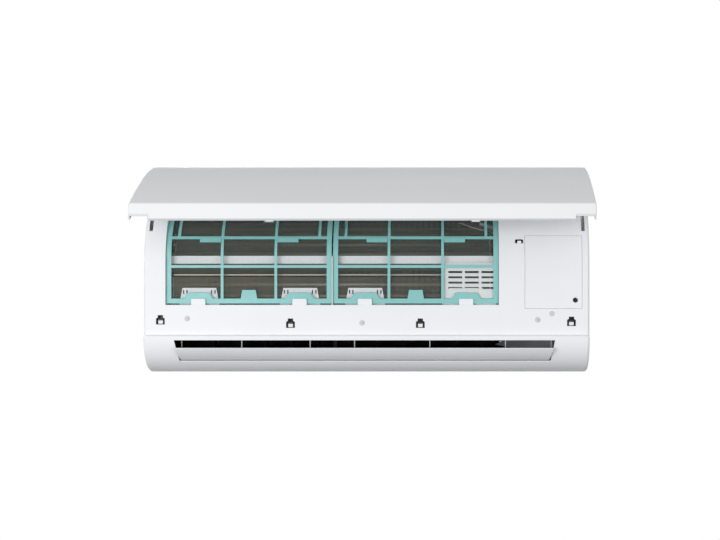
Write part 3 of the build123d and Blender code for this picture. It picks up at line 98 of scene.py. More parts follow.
# %% World
bpy.context.scene.view_settings.view_transform = "Standard"
BRIGHT_SIDE = (-0.2, -0.88, 0.43)  # towards the upper front
BRIGHT_LIGHT = 0.72
DARK_LIGHT = 0.03
FULLY_BRIGHT, FULLY_DARK = 1.0, -0.5  # cosine of the angle to the bright side

room = bpy.data.worlds.new("white_room")
bpy.context.scene.world = room
room.use_nodes = True
room_tree = room.node_tree
room_background = room_tree.nodes["Background"]
room_background.inputs["Color"].default_value = (1.0, 1.0, 1.0, 1.0)


def larger(tree, first, second):
    """The larger of two values."""
    node = tree.nodes.new("ShaderNodeMath")
    node.operation = "MAXIMUM"
    tree.links.new(first, node.inputs[0])
    tree.links.new(second, node.inputs[1])
    return node.outputs[0]


def seen_white(tree):
    """Gives 1 to rays from the camera, mirrors and see-through surfaces, and 0 to the rest."""
    ray = tree.nodes.new("ShaderNodeLightPath").outputs
    seen = larger(tree, ray["Is Camera Ray"], ray["Is Glossy Ray"])
    return larger(tree, seen, ray["Is Transmission Ray"])


direction = room_tree.nodes.new("ShaderNodeTexCoord")
facing = room_tree.nodes.new("ShaderNodeVectorMath")
facing.operation = "DOT_PRODUCT"
facing.inputs[1].default_value = BRIGHT_SIDE
room_tree.links.new(direction.outputs["Generated"], facing.inputs[0])
sky = room_tree.nodes.new("ShaderNodeMapRange")
sky.inputs["From Min"].default_value = FULLY_DARK
sky.inputs["From Max"].default_value = FULLY_BRIGHT
sky.inputs["To Min"].default_value = DARK_LIGHT
sky.inputs["To Max"].default_value = BRIGHT_LIGHT
room_tree.links.new(facing.outputs["Value"], sky.inputs["Value"])
strength = room_tree.nodes.new("ShaderNodeMix")
strength.inputs["B"].default_value = 1.0
room_tree.links.new(seen_white(room_tree), strength.inputs["Factor"])
room_tree.links.new(sky.outputs["Result"], strength.inputs["A"])
room_tree.links.new(strength.outputs["Result"], room_background.inputs["Strength"])
print("room light, bright side and dark side:", BRIGHT_LIGHT, DARK_LIGHT)

# %% [markdown]
# Two big soft lamps stand in front, one on each side of the lens. Their size hides every
# hard shadow, and they make the faces that look at the camera brighter than the faces that
# look up or down. The left one is a little stronger, as in the photograph, where the
# right end of the casing is greyer. A weaker third one lights the back, for views from the
# wall's side, and the camera doesn't see it.

# %% Lamps
LAMP_AIM = Vector((0.0, -0.15, 0.02))  # the middle of the unit


def softbox(name, place, wide, tall, watts):
    """A large soft lamp that looks at the unit's middle. Place, width and height in metres."""
    lamp_data = bpy.data.lights.new(name, "AREA")
    lamp_data.shape = "RECTANGLE"
    lamp_data.size = wide
    lamp_data.size_y = tall
    lamp_data.energy = watts
    lamp = bpy.data.objects.new(name, lamp_data)
    lamp.location = place
    lamp.rotation_euler = (LAMP_AIM - Vector(place)).to_track_quat("-Z", "Y").to_euler()
    bpy.context.scene.collection.objects.link(lamp)
    return lamp


softbox("left_softbox", (-1.3, -2.5, 0.0), 1.6, 1.1, 28)
softbox("right_softbox", (1.9, -2.6, 0.0), 1.6, 1.1, 17)
wall_side = softbox("wall_side_softbox", (-1.2, 2.2, 0.1), 1.8, 1.2, 22)
wall_side.visible_camera = False

# %% [markdown]
# The unit hangs on a wall, so the floor is well below it. The floor is a pale disc that
# fades out towards its rim, so that no hard horizon cuts through the white ground. A white
# floor would also throw light up under the nose of the casing, which is dark in the
# photograph. So only the camera and mirrors see it pale, and all other rays find it dark.

# %% Floor
FLOOR_DROP = 0.95  # m
FLOOR_REACH = 1.5  # m
FADE_STARTS = 0.35  # share of the reach
FLOOR_PALE, FLOOR_DARK = 0.9, 0.08


def pale_floor():
    """A round floor under the unit, in a paint that turns clear towards the rim."""
    mesh = bpy.data.meshes.new("studio_floor")
    build = bmesh.new()
    bmesh.ops.create_circle(build, cap_ends=True, radius=FLOOR_REACH, segments=96)
    build.to_mesh(mesh)
    build.free()
    floor = bpy.data.objects.new("studio_floor", mesh)
    floor.location = (0, -0.2, -FLOOR_DROP)
    bpy.context.scene.collection.objects.link(floor)

    paint = bpy.data.materials.new("floor_paint")
    paint.use_nodes = True
    tree = paint.node_tree
    shader = tree.nodes["Principled BSDF"]
    shade = tree.nodes.new("ShaderNodeMix")
    shade.data_type = "RGBA"
    for socket in shade.inputs:
        if socket.type == "RGBA":
            grey = FLOOR_PALE if socket.name == "B" else FLOOR_DARK
            socket.default_value = (grey, grey, grey, 1)
    tree.links.new(seen_white(tree), shade.inputs["Factor"])
    coloured = next(s for s in shade.outputs if s.type == "RGBA")
    tree.links.new(coloured, shader.inputs["Base Color"])
    shader.inputs["Roughness"].default_value = 0.9
    where = tree.nodes.new("ShaderNodeTexCoord")
    reach = tree.nodes.new("ShaderNodeVectorMath")
    reach.operation = "LENGTH"
    tree.links.new(where.outputs["Object"], reach.inputs[0])
    fade = tree.nodes.new("ShaderNodeMapRange")
    fade.interpolation_type = "SMOOTHSTEP"
    fade.inputs["From Min"].default_value = FLOOR_REACH * FADE_STARTS
    fade.inputs["From Max"].default_value = FLOOR_REACH
    fade.inputs["To Min"].default_value = 1
    fade.inputs["To Max"].default_value = 0
    tree.links.new(reach.outputs["Value"], fade.inputs["Value"])
    tree.links.new(fade.outputs["Result"], shader.inputs["Alpha"])
    mesh.materials.append(paint)


pale_floor()
print("floor is", FLOOR_DROP, "m below the unit's middle")

# %% [markdown]
# ## Tools for the finishes
#
# Colours are written as a colour chip gives them, 0 to 255, because that is how people
# compare them. A shader needs straight light instead, in which half as bright is half the
# number, so each chip is turned into that first.

# %% Colours


def tint(red, green, blue):
    """A colour chip, 0 to 255, as straight light."""

    def straight(value):
        value = value / 255
        return value / 12.92 if value <= 0.04045 else ((value + 0.055) / 1.055) ** 2.4

    return (straight(red), straight(green), straight(blue), 1.0)


def scaled(colour, share):
    """The same colour, lighter or darker."""
    return tuple(min(1.0, v * share) for v in colour[:3]) + (1.0,)


print("a mid grey chip of 128 is", round(tint(128, 128, 128)[0], 3), "in straight light")

# %% [markdown]
# Every finish uses the same small kit: a noise, a range that narrows it, and a blend between
# two colours. An image of plastic could be wrapped round each piece, but it would stretch
# and show its seams. A noise that lies in the model's own space has neither, and because that
# space is in metres, a grain can be written as its real size.

# %% Noise, ranges and blends


def fresh_finish(name):
    """A new finish with its node tree and its shader."""
    finish = bpy.data.materials.new(name)
    finish.use_nodes = True
    return finish, finish.node_tree, finish.node_tree.nodes["Principled BSDF"]


def model_place(tree, stretch=(1, 1, 1), turn=(0, 0, 0)):
    """The point on the model in metres, stretched or turned for grain that has a direction."""
    where = tree.nodes.new("ShaderNodeTexCoord")
    mapping = tree.nodes.new("ShaderNodeMapping")
    mapping.inputs["Scale"].default_value = stretch
    mapping.inputs["Rotation"].default_value = turn
    tree.links.new(where.outputs["Object"], mapping.inputs["Vector"])
    return mapping.outputs["Vector"]


def cloud(tree, size_mm, detail=3.0, stretch=(1, 1, 1)):
    """A noise whose blobs are about size_mm across."""
    noise = tree.nodes.new("ShaderNodeTexNoise")
    noise.inputs["Scale"].default_value = 1 / (size_mm * MM)
    noise.inputs["Detail"].default_value = detail
    tree.links.new(model_place(tree, stretch), noise.inputs["Vector"])
    return noise.outputs["Fac"]


def between(tree, value, low, high, start=0.3, end=0.7):
    """Narrows a 0 to 1 pattern to a range of its own."""
    span = tree.nodes.new("ShaderNodeMapRange")
    span.inputs["From Min"].default_value = start
    span.inputs["From Max"].default_value = end
    span.inputs["To Min"].default_value = low
    span.inputs["To Max"].default_value = high
    tree.links.new(value, span.inputs["Value"])
    return span.outputs["Result"]


def blended(tree, share, first, second):
    """Goes from one colour to another with a 0 to 1 share."""
    mix = tree.nodes.new("ShaderNodeMix")
    mix.data_type = "RGBA"
    tree.links.new(share, mix.inputs["Factor"])
    for socket, colour in (("A", first), ("B", second)):
        target = next(s for s in mix.inputs if s.name == socket and s.type == "RGBA")
        if isinstance(colour, bpy.types.NodeSocket):
            tree.links.new(colour, target)
        else:
            target.default_value = colour
    return next(s for s in mix.outputs if s.type == "RGBA")


print("a noise of 1 mm has the scale", 1 / MM)

# %% [markdown]
# Grain is a few hundredths of a millimetre deep at most, which no mesh could carry, so it is
# made as bump: the surface only takes the light as if it were uneven. The same is true of the
# small radius that every moulded or pressed edge has. Blender's Bevel node softens how the
# edge looks, where a real bevel on every solid would cost thousands of faces.

# %% Relief and soft edges
EDGE_SAMPLES = 4


def relief(tree, height, depth_mm, under=None):
    """Turns a pattern into a shallow relief of a real depth, on top of another one if given."""
    bump = tree.nodes.new("ShaderNodeBump")
    bump.inputs["Distance"].default_value = depth_mm * MM
    tree.links.new(height, bump.inputs["Height"])
    if under is not None:
        tree.links.new(under, bump.inputs["Normal"])
    return bump.outputs["Normal"]


def soft_edge(tree, radius_mm):
    """Rounds the look of hard edges, as every moulding and pressing has a small radius."""
    edge = tree.nodes.new("ShaderNodeBevel")
    edge.samples = EDGE_SAMPLES
    edge.inputs["Radius"].default_value = radius_mm * MM
    return edge.outputs["Normal"]


print("soft edges take", EDGE_SAMPLES, "samples")

# %% [markdown]
# ## Moulded plastic
#
# Nearly everything in sight is injection-moulded plastic. A flat colour never looks like
# it. Real mouldings drift a little in shade where the melt flowed, their gloss changes from
# patch to patch, the steel of the mould leaves a fine grain or a polish, and no edge is
# perfectly sharp. One recipe with different numbers makes all of them. The shine is what a
# surface mirrors when it is seen from the side. The white room would wash out the big smooth
# pieces with it, so they get less of it than Blender's usual 0.5.

# %% Recipe for moulded plastic


finishes = {}
FLOW_MM = 60
FLOW_STRETCH = (0.35, 1, 1)  # the melt flows along the unit, so its clouds are long in X
PATCH_MM = 18


def moulded(
    name, colour, gloss, drift=0.02, grain_mm=0.5, grain_deep=0.004, edge_mm=0.4, shine=0.5
):
    """A moulding: shade drift, patchy gloss, mould grain and softened edges."""
    finish, tree, shader = fresh_finish(name)
    flow = between(tree, cloud(tree, FLOW_MM, 4, stretch=FLOW_STRETCH), 0, 1)
    shade = blended(tree, flow, scaled(colour, 1 - drift), scaled(colour, 1 + drift))
    tree.links.new(shade, shader.inputs["Base Color"])
    patches = cloud(tree, PATCH_MM, 3)
    low, high = gloss
    tree.links.new(between(tree, patches, low, high), shader.inputs["Roughness"])
    grain = cloud(tree, grain_mm, 2)
    edge = soft_edge(tree, edge_mm)
    tree.links.new(relief(tree, grain, grain_deep, edge), shader.inputs["Normal"])
    shader.inputs["Specular IOR Level"].default_value = shine
    finishes[name] = finish
    return shader


print("shade drifts over", FLOW_MM, "mm and gloss over", PATCH_MM, "mm")

# %% [markdown]
# These are the mouldings. The four whites are nearly the same chip, because they are one
# plastic, and differ in polish: the panel comes from a mirror-bright mould, and the small
# fittings from a duller one. Nearly everything inside the outlet is black and matt, so that
# nobody sees into it. Most of the other colours belong to pieces that only a service
# engineer sees.

# %% The mouldings
moulded(
    "casing_white", tint(243, 245, 248), gloss=(0.32, 0.42),
    drift=0.012, grain_deep=0.003, shine=0.2,
)
moulded(
    "panel_white", tint(240, 241, 243), gloss=(0.28, 0.36),
    drift=0.01, grain_mm=9, grain_deep=0.006, shine=0.15,
)
moulded(
    "flap_white", tint(241, 243, 246), gloss=(0.3, 0.42),
    drift=0.015, grain_mm=1.2, grain_deep=0.004, shine=0.25,
)
moulded(
    "fitting_white", tint(236, 238, 240), gloss=(0.42, 0.55),
    drift=0.02, grain_mm=0.6, grain_deep=0.006,
)
# The screw caps' grey is partly their own light grey and partly painted shade: they are darker than
# the casing's white because the recesses they sit in are shaded.
moulded("cap_grey", tint(206, 208, 212), gloss=(0.4, 0.5), drift=0.02)
moulded(
    "socket_black", tint(12, 12, 13), gloss=(0.32, 0.5), drift=0.15, grain_mm=0.5, grain_deep=0.008
)
moulded(
    "duct_black", tint(24, 24, 26), gloss=(0.6, 0.78),
    drift=0.2, grain_mm=0.8, grain_deep=0.02, shine=0.1,
)
moulded(
    "vane_black", tint(20, 20, 22), gloss=(0.6, 0.75),
    drift=0.15, grain_mm=0.7, grain_deep=0.012, shine=0.1,
)
moulded(
    "cheek_grey", tint(126, 127, 132), gloss=(0.45, 0.6), drift=0.06, grain_mm=0.8, grain_deep=0.015
)
moulded(
    "chassis_black", tint(52, 52, 55), gloss=(0.5, 0.65),
    drift=0.12, grain_mm=0.9, grain_deep=0.02, shine=0.25,
)
moulded(
    "tray_grey", tint(214, 216, 216), gloss=(0.5, 0.65), drift=0.03, grain_mm=0.9, grain_deep=0.02
)
moulded(
    "fan_charcoal", tint(26, 26, 28), gloss=(0.5, 0.65),
    drift=0.1, grain_mm=0.6, grain_deep=0.01, shine=0.15,
)
moulded(
    "box_grey", tint(196, 196, 192), gloss=(0.45, 0.6), drift=0.03, grain_mm=0.7, grain_deep=0.012
)
moulded("terminal_black", tint(38, 38, 40), gloss=(0.35, 0.5), drift=0.12)
print("moulded finishes:", len(finishes))

# %% [markdown]
# The filters are moulded in a translucent teal polypropylene. Thin ribs of it let some light
# wander through, so no shadow on them is quite black. Glass-like transmission would show
# the coil through the ribs, which is too much. A little subsurface scattering, with a waxy
# gloss, is enough. The net's threads are a paler, finer version of the same plastic.

# %% Teal polypropylene
teal_shader = moulded(
    "filter_teal", tint(138, 200, 198), gloss=(0.28, 0.4), drift=0.05, grain_mm=1.0, grain_deep=0.01
)
teal_shader.inputs["Subsurface Weight"].default_value = 0.15
teal_shader.inputs["Subsurface Radius"].default_value = (2 * MM, 4 * MM, 4 * MM)

moulded(
    "net_thread", tint(178, 190, 184), gloss=(0.35, 0.5), drift=0.06, grain_mm=0.4, edge_mm=0.05
)
print("finishes with the teal ones:", len(finishes))

# %% [markdown]
# ## Metals
#
# Galvanised sheet shows its zinc crystals, the spangle: flat patches of 5 to 15 mm, each with
# its own grey. Voronoi cells are the right pattern for crystals, because crystals grow from
# points until they meet. Pressed motor steel has fine lines from the rolling mill, so its
# noise is stretched along one direction.

# %% Recipe for sheet metal
ROLLING_MM = 1.5
SCRATCH_MM, SCRATCH_DEEP = 0.8, 0.006  # size and depth, both in mm
METAL_EDGE_MM = 0.3


def sheet_metal(name, colour, gloss, spangle_mm=0.0, rolling=(1, 1, 1), wear=0.1):
    """Bare or coated sheet metal with crystals or rolling lines."""
    finish, tree, shader = fresh_finish(name)
    shader.inputs["Metallic"].default_value = 1.0
    if spangle_mm:
        cells = tree.nodes.new("ShaderNodeTexVoronoi")
        cells.inputs["Scale"].default_value = 1 / (spangle_mm * MM)
        tree.links.new(model_place(tree), cells.inputs["Vector"])
        split = tree.nodes.new("ShaderNodeSeparateColor")
        tree.links.new(cells.outputs["Color"], split.inputs["Color"])
        pattern = split.outputs["Red"]
    else:
        pattern = cloud(tree, ROLLING_MM, 3, stretch=rolling)
    share = between(tree, pattern, 0, 1, 0.0, 1.0)
    shade = blended(tree, share, scaled(colour, 1 - wear), scaled(colour, 1 + wear))
    tree.links.new(shade, shader.inputs["Base Color"])
    low, high = gloss
    tree.links.new(between(tree, pattern, low, high, 0.0, 1.0), shader.inputs["Roughness"])
    fine = cloud(tree, SCRATCH_MM, 2, stretch=rolling)
    edge = soft_edge(tree, METAL_EDGE_MM)
    tree.links.new(relief(tree, fine, SCRATCH_DEEP, edge), shader.inputs["Normal"])
    finishes[name] = finish
    return shader


sheet_metal("zinc_sheet", tint(196, 200, 204), gloss=(0.3, 0.5), spangle_mm=9)
sheet_metal("motor_steel", tint(188, 190, 194), gloss=(0.28, 0.4), rolling=(1, 0.05, 1))
sheet_metal("screw_black", tint(46, 46, 48), gloss=(0.3, 0.42), rolling=(1, 1, 0.2), wear=0.2)
sheet_metal("can_sleeve", tint(92, 100, 120), gloss=(0.25, 0.35), rolling=(1, 0.1, 1))
sheet_metal("turned_brass", tint(214, 178, 106), gloss=(0.18, 0.3), rolling=(0.05, 1, 1))
print("finishes with the metals:", len(finishes))

# %% [markdown]
# The refrigerant tubes are bare copper. Fresh copper is pink and bright, and handled copper
# goes brown in clouds. Two colours meet through a noise that is pushed hard, so that there
# are clear bright and dull areas, and the dull ones are rougher too.

# %% Copper tube
TARNISH_MM = 22
BRIGHT_BELOW, DULL_ABOVE = 0.42, 0.62  # shares of the noise
HANDLING_MM, HANDLING_DEEP = 0.6, 0.004  # fine scratches, size and depth in mm
copper, copper_tree, copper_shader = fresh_finish("copper_tube")
copper_shader.inputs["Metallic"].default_value = 1.0
clouds = cloud(copper_tree, TARNISH_MM, 5)
tarnish = between(copper_tree, clouds, 0, 1, BRIGHT_BELOW, DULL_ABOVE)
copper_shade = blended(copper_tree, tarnish, tint(222, 150, 118), tint(150, 92, 66))
copper_tree.links.new(copper_shade, copper_shader.inputs["Base Color"])
dullness = between(copper_tree, tarnish, 0.2, 0.45, 0, 1)
copper_tree.links.new(dullness, copper_shader.inputs["Roughness"])
scratches = cloud(copper_tree, HANDLING_MM, 2, stretch=(0.1, 1, 1))
scratched = relief(copper_tree, scratches, HANDLING_DEEP)
copper_tree.links.new(scratched, copper_shader.inputs["Normal"])
finishes["copper_tube"] = copper
print("finishes with the copper:", len(finishes))

# %% [markdown]
# Foam sleeve, soft hose and the rubber bearing are the three soft ones. The sleeve is
# closed-cell foam with open pores where its skin is cut, so small Voronoi cells push holes
# into it, and a painted shade darkens each hole towards its middle. The hose is a ribless white
# tube with a waxy gloss, and the rubber is matt.

# %% Foam, hose and rubber
PORE_SIZE = 1.3 * MM
PORE_DEEP = 0.25  # mm
DENT_MM, DENT_DEEP = 14, 0.4  # where the foam was squeezed, size and depth in mm
foam, foam_tree, foam_shader = fresh_finish("sleeve_foam")
pores = foam_tree.nodes.new("ShaderNodeTexVoronoi")
pores.inputs["Scale"].default_value = 1 / PORE_SIZE
foam_tree.links.new(model_place(foam_tree), pores.inputs["Vector"])
# Painted shade: the foam's colour darkens towards each pore's middle, where shade would fall in the
# pit.
painted_pore_shade = between(foam_tree, pores.outputs["Distance"], 1, 0, 0.0, 0.45)
foam_shade = blended(foam_tree, painted_pore_shade, tint(224, 224, 221), tint(188, 188, 184))
foam_tree.links.new(foam_shade, foam_shader.inputs["Base Color"])
foam_patches = cloud(foam_tree, DENT_MM, 3)
foam_tree.links.new(between(foam_tree, foam_patches, 0.75, 0.92), foam_shader.inputs["Roughness"])
dents = relief(foam_tree, foam_patches, DENT_DEEP)
pitted = relief(foam_tree, pores.outputs["Distance"], PORE_DEEP, dents)
foam_tree.links.new(pitted, foam_shader.inputs["Normal"])
finishes["sleeve_foam"] = foam

moulded(
    "hose_white", tint(222, 222, 217), gloss=(0.38, 0.5), drift=0.03, grain_mm=1.4, grain_deep=0.03
)
moulded(
    "bearing_rubber", tint(34, 34, 35), gloss=(0.7, 0.85), drift=0.2, grain_mm=0.7, grain_deep=0.03
)
print("finishes with the soft ones:", len(finishes))

# %% [markdown]
# The circuit board is green laminate. Under the green lacquer lie copper tracks, which show
# as slightly lighter, slightly raised paths. A brick pattern turned on its side gives
# straight tracks with gaps. A coarse noise with a hard threshold gives the filled ground
# areas between them.

# %% Circuit board
TRACK_GRID = 9 * MM
TRACK_DEEP = 0.05  # mm
board, board_tree, board_shader = fresh_finish("board_laminate")
tracks = board_tree.nodes.new("ShaderNodeTexBrick")
tracks.inputs["Scale"].default_value = 1 / TRACK_GRID
tracks.inputs["Color1"].default_value = (0, 0, 0, 1)
tracks.inputs["Color2"].default_value = (0.25, 0.25, 0.25, 1)
tracks.inputs["Mortar"].default_value = (1, 1, 1, 1)
tracks.inputs["Mortar Size"].default_value = 0.035
sideways = model_place(board_tree, turn=(math.radians(90), 0, 0))
board_tree.links.new(sideways, tracks.inputs["Vector"])
ground = between(board_tree, cloud(board_tree, 16, 1), 0, 0.35, 0.48, 0.52)
lacquer = blended(board_tree, ground, tint(52, 96, 58), tint(70, 122, 74))
track_share = board_tree.nodes.new("ShaderNodeRGBToBW")
board_tree.links.new(tracks.outputs["Color"], track_share.inputs["Color"])
board_shade = blended(board_tree, track_share.outputs["Val"], lacquer, tint(96, 148, 92))
board_tree.links.new(board_shade, board_shader.inputs["Base Color"])
board_tree.links.new(between(board_tree, ground, 0.25, 0.4, 0, 1), board_shader.inputs["Roughness"])
raised = relief(board_tree, track_share.outputs["Val"], TRACK_DEEP)
board_tree.links.new(raised, board_shader.inputs["Normal"])
finishes["board_laminate"] = board
print("finishes with the board:", len(finishes))

# %% [markdown]
# ## The fin finish
#
# Coil fins are aluminium foil with a thin protective lacquer. Seen edge-on they look dark
# and brownish, because the light that gets in between them hardly comes out again. So the
# foil itself only needs its own dull colour: the real gaps between real fins do the rest.
# Where a foil is pressed onto a tube it has a drawn collar, which covers the copper and shows
# as a thin pale line across the coil.

# %% Fin foil
LACQUERED = 0.55  # the lacquer makes the foil look only half like bare metal
foil_shader = sheet_metal(
    "fin_foil", tint(176, 165, 148), gloss=(0.4, 0.55), rolling=(1, 0.1, 1), wear=0.12
)
foil_shader.inputs["Metallic"].default_value = LACQUERED
sheet_metal("collar_foil", tint(172, 163, 148), gloss=(0.45, 0.6), rolling=(1, 0.1, 1), wear=0.06)
print("finishes with the foils:", len(finishes))

# %% [markdown]
# ## Dressing the solids
#
# Every solid of the measured model now gets its finish. The white covers are near relatives,
# but not the same: the panel is polished, the flap and the fittings are duller. A list by
# name is the plainest way to hand the finishes out, and a new solid that nobody has thought of
# makes the script stop instead of staying grey. The finish goes on the object and not on its
# mesh, so that the measured mesh stays as it was.

# %% Give every CAD node its finish
node_finish = {
    "front_casing": "casing_white",
    "electrical_cover": "casing_white",
    "intake_grille": "casing_white",
    "front_panel": "panel_white",
    "flap": "flap_white",
    "side_grille": "fitting_white",
    "guard_bars": "fitting_white",
    "latch_catches": "fitting_white",
    "screw_caps": "cap_grey",
    "manual_button": "cap_grey",
    "latch_sockets": "socket_black",
    "cover_screw": "screw_black",
    "outlet_duct": "duct_black",
    "duct_cheek": "cheek_grey",
    "rear_chassis": "chassis_black",
    "drain_tray": "tray_grey",
    "drain_pipe": "hose_white",
    "fan_rotor": "fan_charcoal",
    "fan_bearing": "bearing_rubber",
    "fan_motor": "motor_steel",
    "flap_motor": "motor_steel",
    "motor_clamp": "zinc_sheet",
    "wall_plate": "zinc_sheet",
    "coil_left_plates": "zinc_sheet",
    "coil_right_plates": "zinc_sheet",
    "coil_left_bends": "copper_tube",
    "coil_right_bends": "copper_tube",
    "gas_pipe": "copper_tube",
    "liquid_pipe": "copper_tube",
    "foam_sleeve": "sleeve_foam",
    "flare_unions": "turned_brass",
    "electrical_box": "box_grey",
    "control_board": "board_laminate",
    "capacitors": "can_sleeve",
    "terminal_block": "terminal_black",
    "switch_block": "terminal_black",
}
family_finish = {"vane_": "vane_black", "filter_": "filter_teal", "coil_": "fin_foil"}
for name, node in nodes.items():
    chosen = node_finish.get(name)
    if chosen is None:
        chosen = next(f for start, f in family_finish.items() if name.startswith(start))
    for place in node.material_slots:
        place.link = "OBJECT"
        place.material = finishes[chosen]
print("nodes finished:", len(nodes))

# %% [markdown]
# ## Making a piece of one's own
#
# The fine things that come now are meshes, built face by face. That could be done with
# modifiers on small objects, but every piece here is a row of simple shapes at measured
# places, and a short loop says those places outright. A piece also has to know which part of
# the unit it rides on, so that it moves along when the panel swings or a filter is lifted.

# %% A new piece


def new_piece(name, mesh_maker, finish, body, smooth=False):
    """Makes a mesh piece, gives it its finish and lets it ride on a body."""
    mesh = bpy.data.meshes.new(name)
    build = bmesh.new()
    mesh_maker(build)
    bmesh.ops.recalc_face_normals(build, faces=build.faces)
    build.to_mesh(mesh)
    build.free()
    if smooth:
        mesh.shade_smooth()
    mesh.materials.append(finishes[finish])
    piece = bpy.data.objects.new(name, mesh)
    bpy.context.scene.collection.objects.link(piece)
    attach(piece, body)
    return piece


print("pieces can be made")

# %% [markdown]
# Two rings of points are all that most of these shapes need. A foil, a straight tube and a
# small block are a prism: the same outline twice, with caps. A bent wire is a row of rings
# along a curve, each joined to the next. Joining rings by hand keeps the count of faces low,
# which matters with hundreds of foils and threads.

# %% Prisms and chains of rings


def prism(build, near, far):
    """Closes the space between two equal rings of points with two caps and a wall."""
    build.faces.new(near)
    build.faces.new(far[::-1])
    for i in range(len(near)):
        j = (i + 1) % len(near)
        build.faces.new((near[j], near[i], far[i], far[j]))


def chain(build, rings):
    """Joins each ring of points to the next one, and closes both ends."""
    sides = len(rings[0])
    for one, two in zip(rings, rings[1:]):
        for k in range(sides):
            build.faces.new((one[k], one[(k + 1) % sides], two[(k + 1) % sides], two[k]))
    build.faces.new(rings[0][::-1])
    build.faces.new(rings[-1])


def plate(build, corners, left, right):
    """A flat plate across X with the given side outline."""
    near = [build.verts.new((left, y, z)) for y, z in corners]
    far = [build.verts.new((right, y, z)) for y, z in corners]
    prism(build, near, far)


TUBE_SIDES = 16


def tube(build, middle, left, right, radius, sides=TUBE_SIDES):
    """A straight round tube along X."""
    ring = [
        (middle[0] + radius * math.cos(a), middle[1] + radius * math.sin(a))
        for a in (2 * math.pi * i / sides for i in range(sides))
    ]
    plate(build, ring, left, right)


print("a tube has", TUBE_SIDES + 2, "faces")

# %% [markdown]
# ## The fins
#
# In CAD each of the three coil blocks is one closed solid. On the real coil a block is some
# three hundred foils, pressed onto tubes. They could be painted on with a striped
# texture, but a stripe has no depth and shows no dark gaps. So each block is replaced by
# real foils, and the collared tubes run through them from end plate to end plate. The block's
# own corners, read from its node, say where they go.

# %% Where the tubes go
TUBE_RADIUS = 3.5 * MM
TUBE_PITCH = 19 * MM
TUBE_ROW = 11 * MM


def side_corners(name):
    """The four corners of a straight block, seen from its end, as (Y, Z) in order round it."""
    points = {(round(v.co.y, 6), round(v.co.z, 6)) for v in nodes[name].data.vertices}
    middle_y = sum(p[0] for p in points) / len(points)
    middle_z = sum(p[1] for p in points) / len(points)
    return sorted(points, key=lambda p: math.atan2(p[1] - middle_z, p[0] - middle_y))


def block_tubes(corners):
    """The tubes' middles in a block: two abreast, spaced evenly along its length."""
    points = [Vector(c) for c in corners]
    if (points[1] - points[0]).length > (points[2] - points[1]).length:
        points = points[1:] + points[:1]
    thick_way = (points[1] - points[0]).normalized()
    long_way = (points[2] - points[1]).normalized()
    length = (points[2] - points[1]).length
    centre = sum(points, Vector((0, 0))) / 4
    count = int(length // TUBE_PITCH)
    return [
        centre + long_way * (i - (count - 1) / 2) * TUBE_PITCH + thick_way * side * TUBE_ROW / 2
        for i in range(count)
        for side in (-1, 1)
    ]


print("tubes in the front block:", len(block_tubes(side_corners("coil_front_fins"))))

# %% [markdown]
# The three blocks stand like a roof around the fan: one upright in front, one leaning back
# over it and one behind. Each gets its foils from its left end to its right end, at the
# same pitch, and the step is stretched a hair so that the last foil ends where the block ends.

# %% Fins and tubes of the three blocks
FIN_PITCH = 1.7 * MM
FIN_THICK = 0.22 * MM

for block in ("front", "upper", "rear"):
    node_name = f"coil_{block}_fins"
    low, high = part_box(node_name)
    corners = side_corners(node_name)
    count = int((high[0] - low[0]) / FIN_PITCH)
    step = (high[0] - low[0] - FIN_THICK) / count

    def foils(build):
        for i in range(count + 1):
            start = low[0] + i * step
            plate(build, corners, start, start + FIN_THICK)

    def tubes(build):
        for middle in block_tubes(corners):
            tube(build, middle, low[0], high[0], TUBE_RADIUS)

    fins = new_piece(f"{block}_fin_foils", foils, "fin_foil", "unit")
    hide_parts(node_name)
    new_piece(f"{block}_tube_collars", tubes, "collar_foil", "unit", smooth=True)
    print(block, "block:", count + 1, "foils,", len(block_tubes(corners)), "tubes")

# %% [markdown]
# ## The filter nets
#
# The dust is caught by a woven net that is welded to the back of each teal grid. The CAD
# node is a thin closed sheet, which would hide the coil. The real net is see-through because
# it is mostly holes, so it is made here thread by thread. It follows the filter's own path:
# straight up behind the window, back over the coil in an arc, and straight again.

# %% The filter's path
PATH_OUT = 164.5 * MM  # from the wall to the path's straight start
PATH_FOOT = -29 * MM  # the height at which it starts
PATH_STRAIGHT = 75 * MM
PATH_RADIUS = 80 * MM
PATH_TURN = math.radians(70)
PATH_LENGTH = 209 * MM


def filter_path(run, behind):
    """The point (Y, Z) at a distance up the filter's path, some way behind it, and its way up."""
    bend_end = PATH_STRAIGHT + PATH_RADIUS * PATH_TURN
    turned = min(max(run - PATH_STRAIGHT, 0) / PATH_RADIUS, PATH_TURN)
    radius = PATH_RADIUS - behind
    out = PATH_OUT - PATH_RADIUS + radius * math.cos(turned)
    rise = PATH_FOOT + min(run, PATH_STRAIGHT) + radius * math.sin(turned)
    past = max(run - bend_end, 0)
    way = Vector((math.sin(turned), math.cos(turned)))
    return Vector((-out, rise)) + way * past, way


print("the path ends at (Y, Z)", [round(v, 4) for v in filter_path(PATH_LENGTH, 0)[0]])

# %% [markdown]
# A thread is hardly thicker than a hair, so it needs only four sides. The threads that run
# up the path are bent in small steps, and the threads across it are straight. On a real net
# they pass over and under each other, but at this size nobody sees it, so they simply cross.

# %% Woven nets
NET_PITCH = 2.0 * MM
THREAD_RADIUS = 0.08 * MM
THREAD_STOPS = 30
PATH_MARGIN = 4.5 * MM  # the frame's own edge, at both ends of the path
NET_BEHIND = 1.7 * MM  # behind the path, on the back of the grid


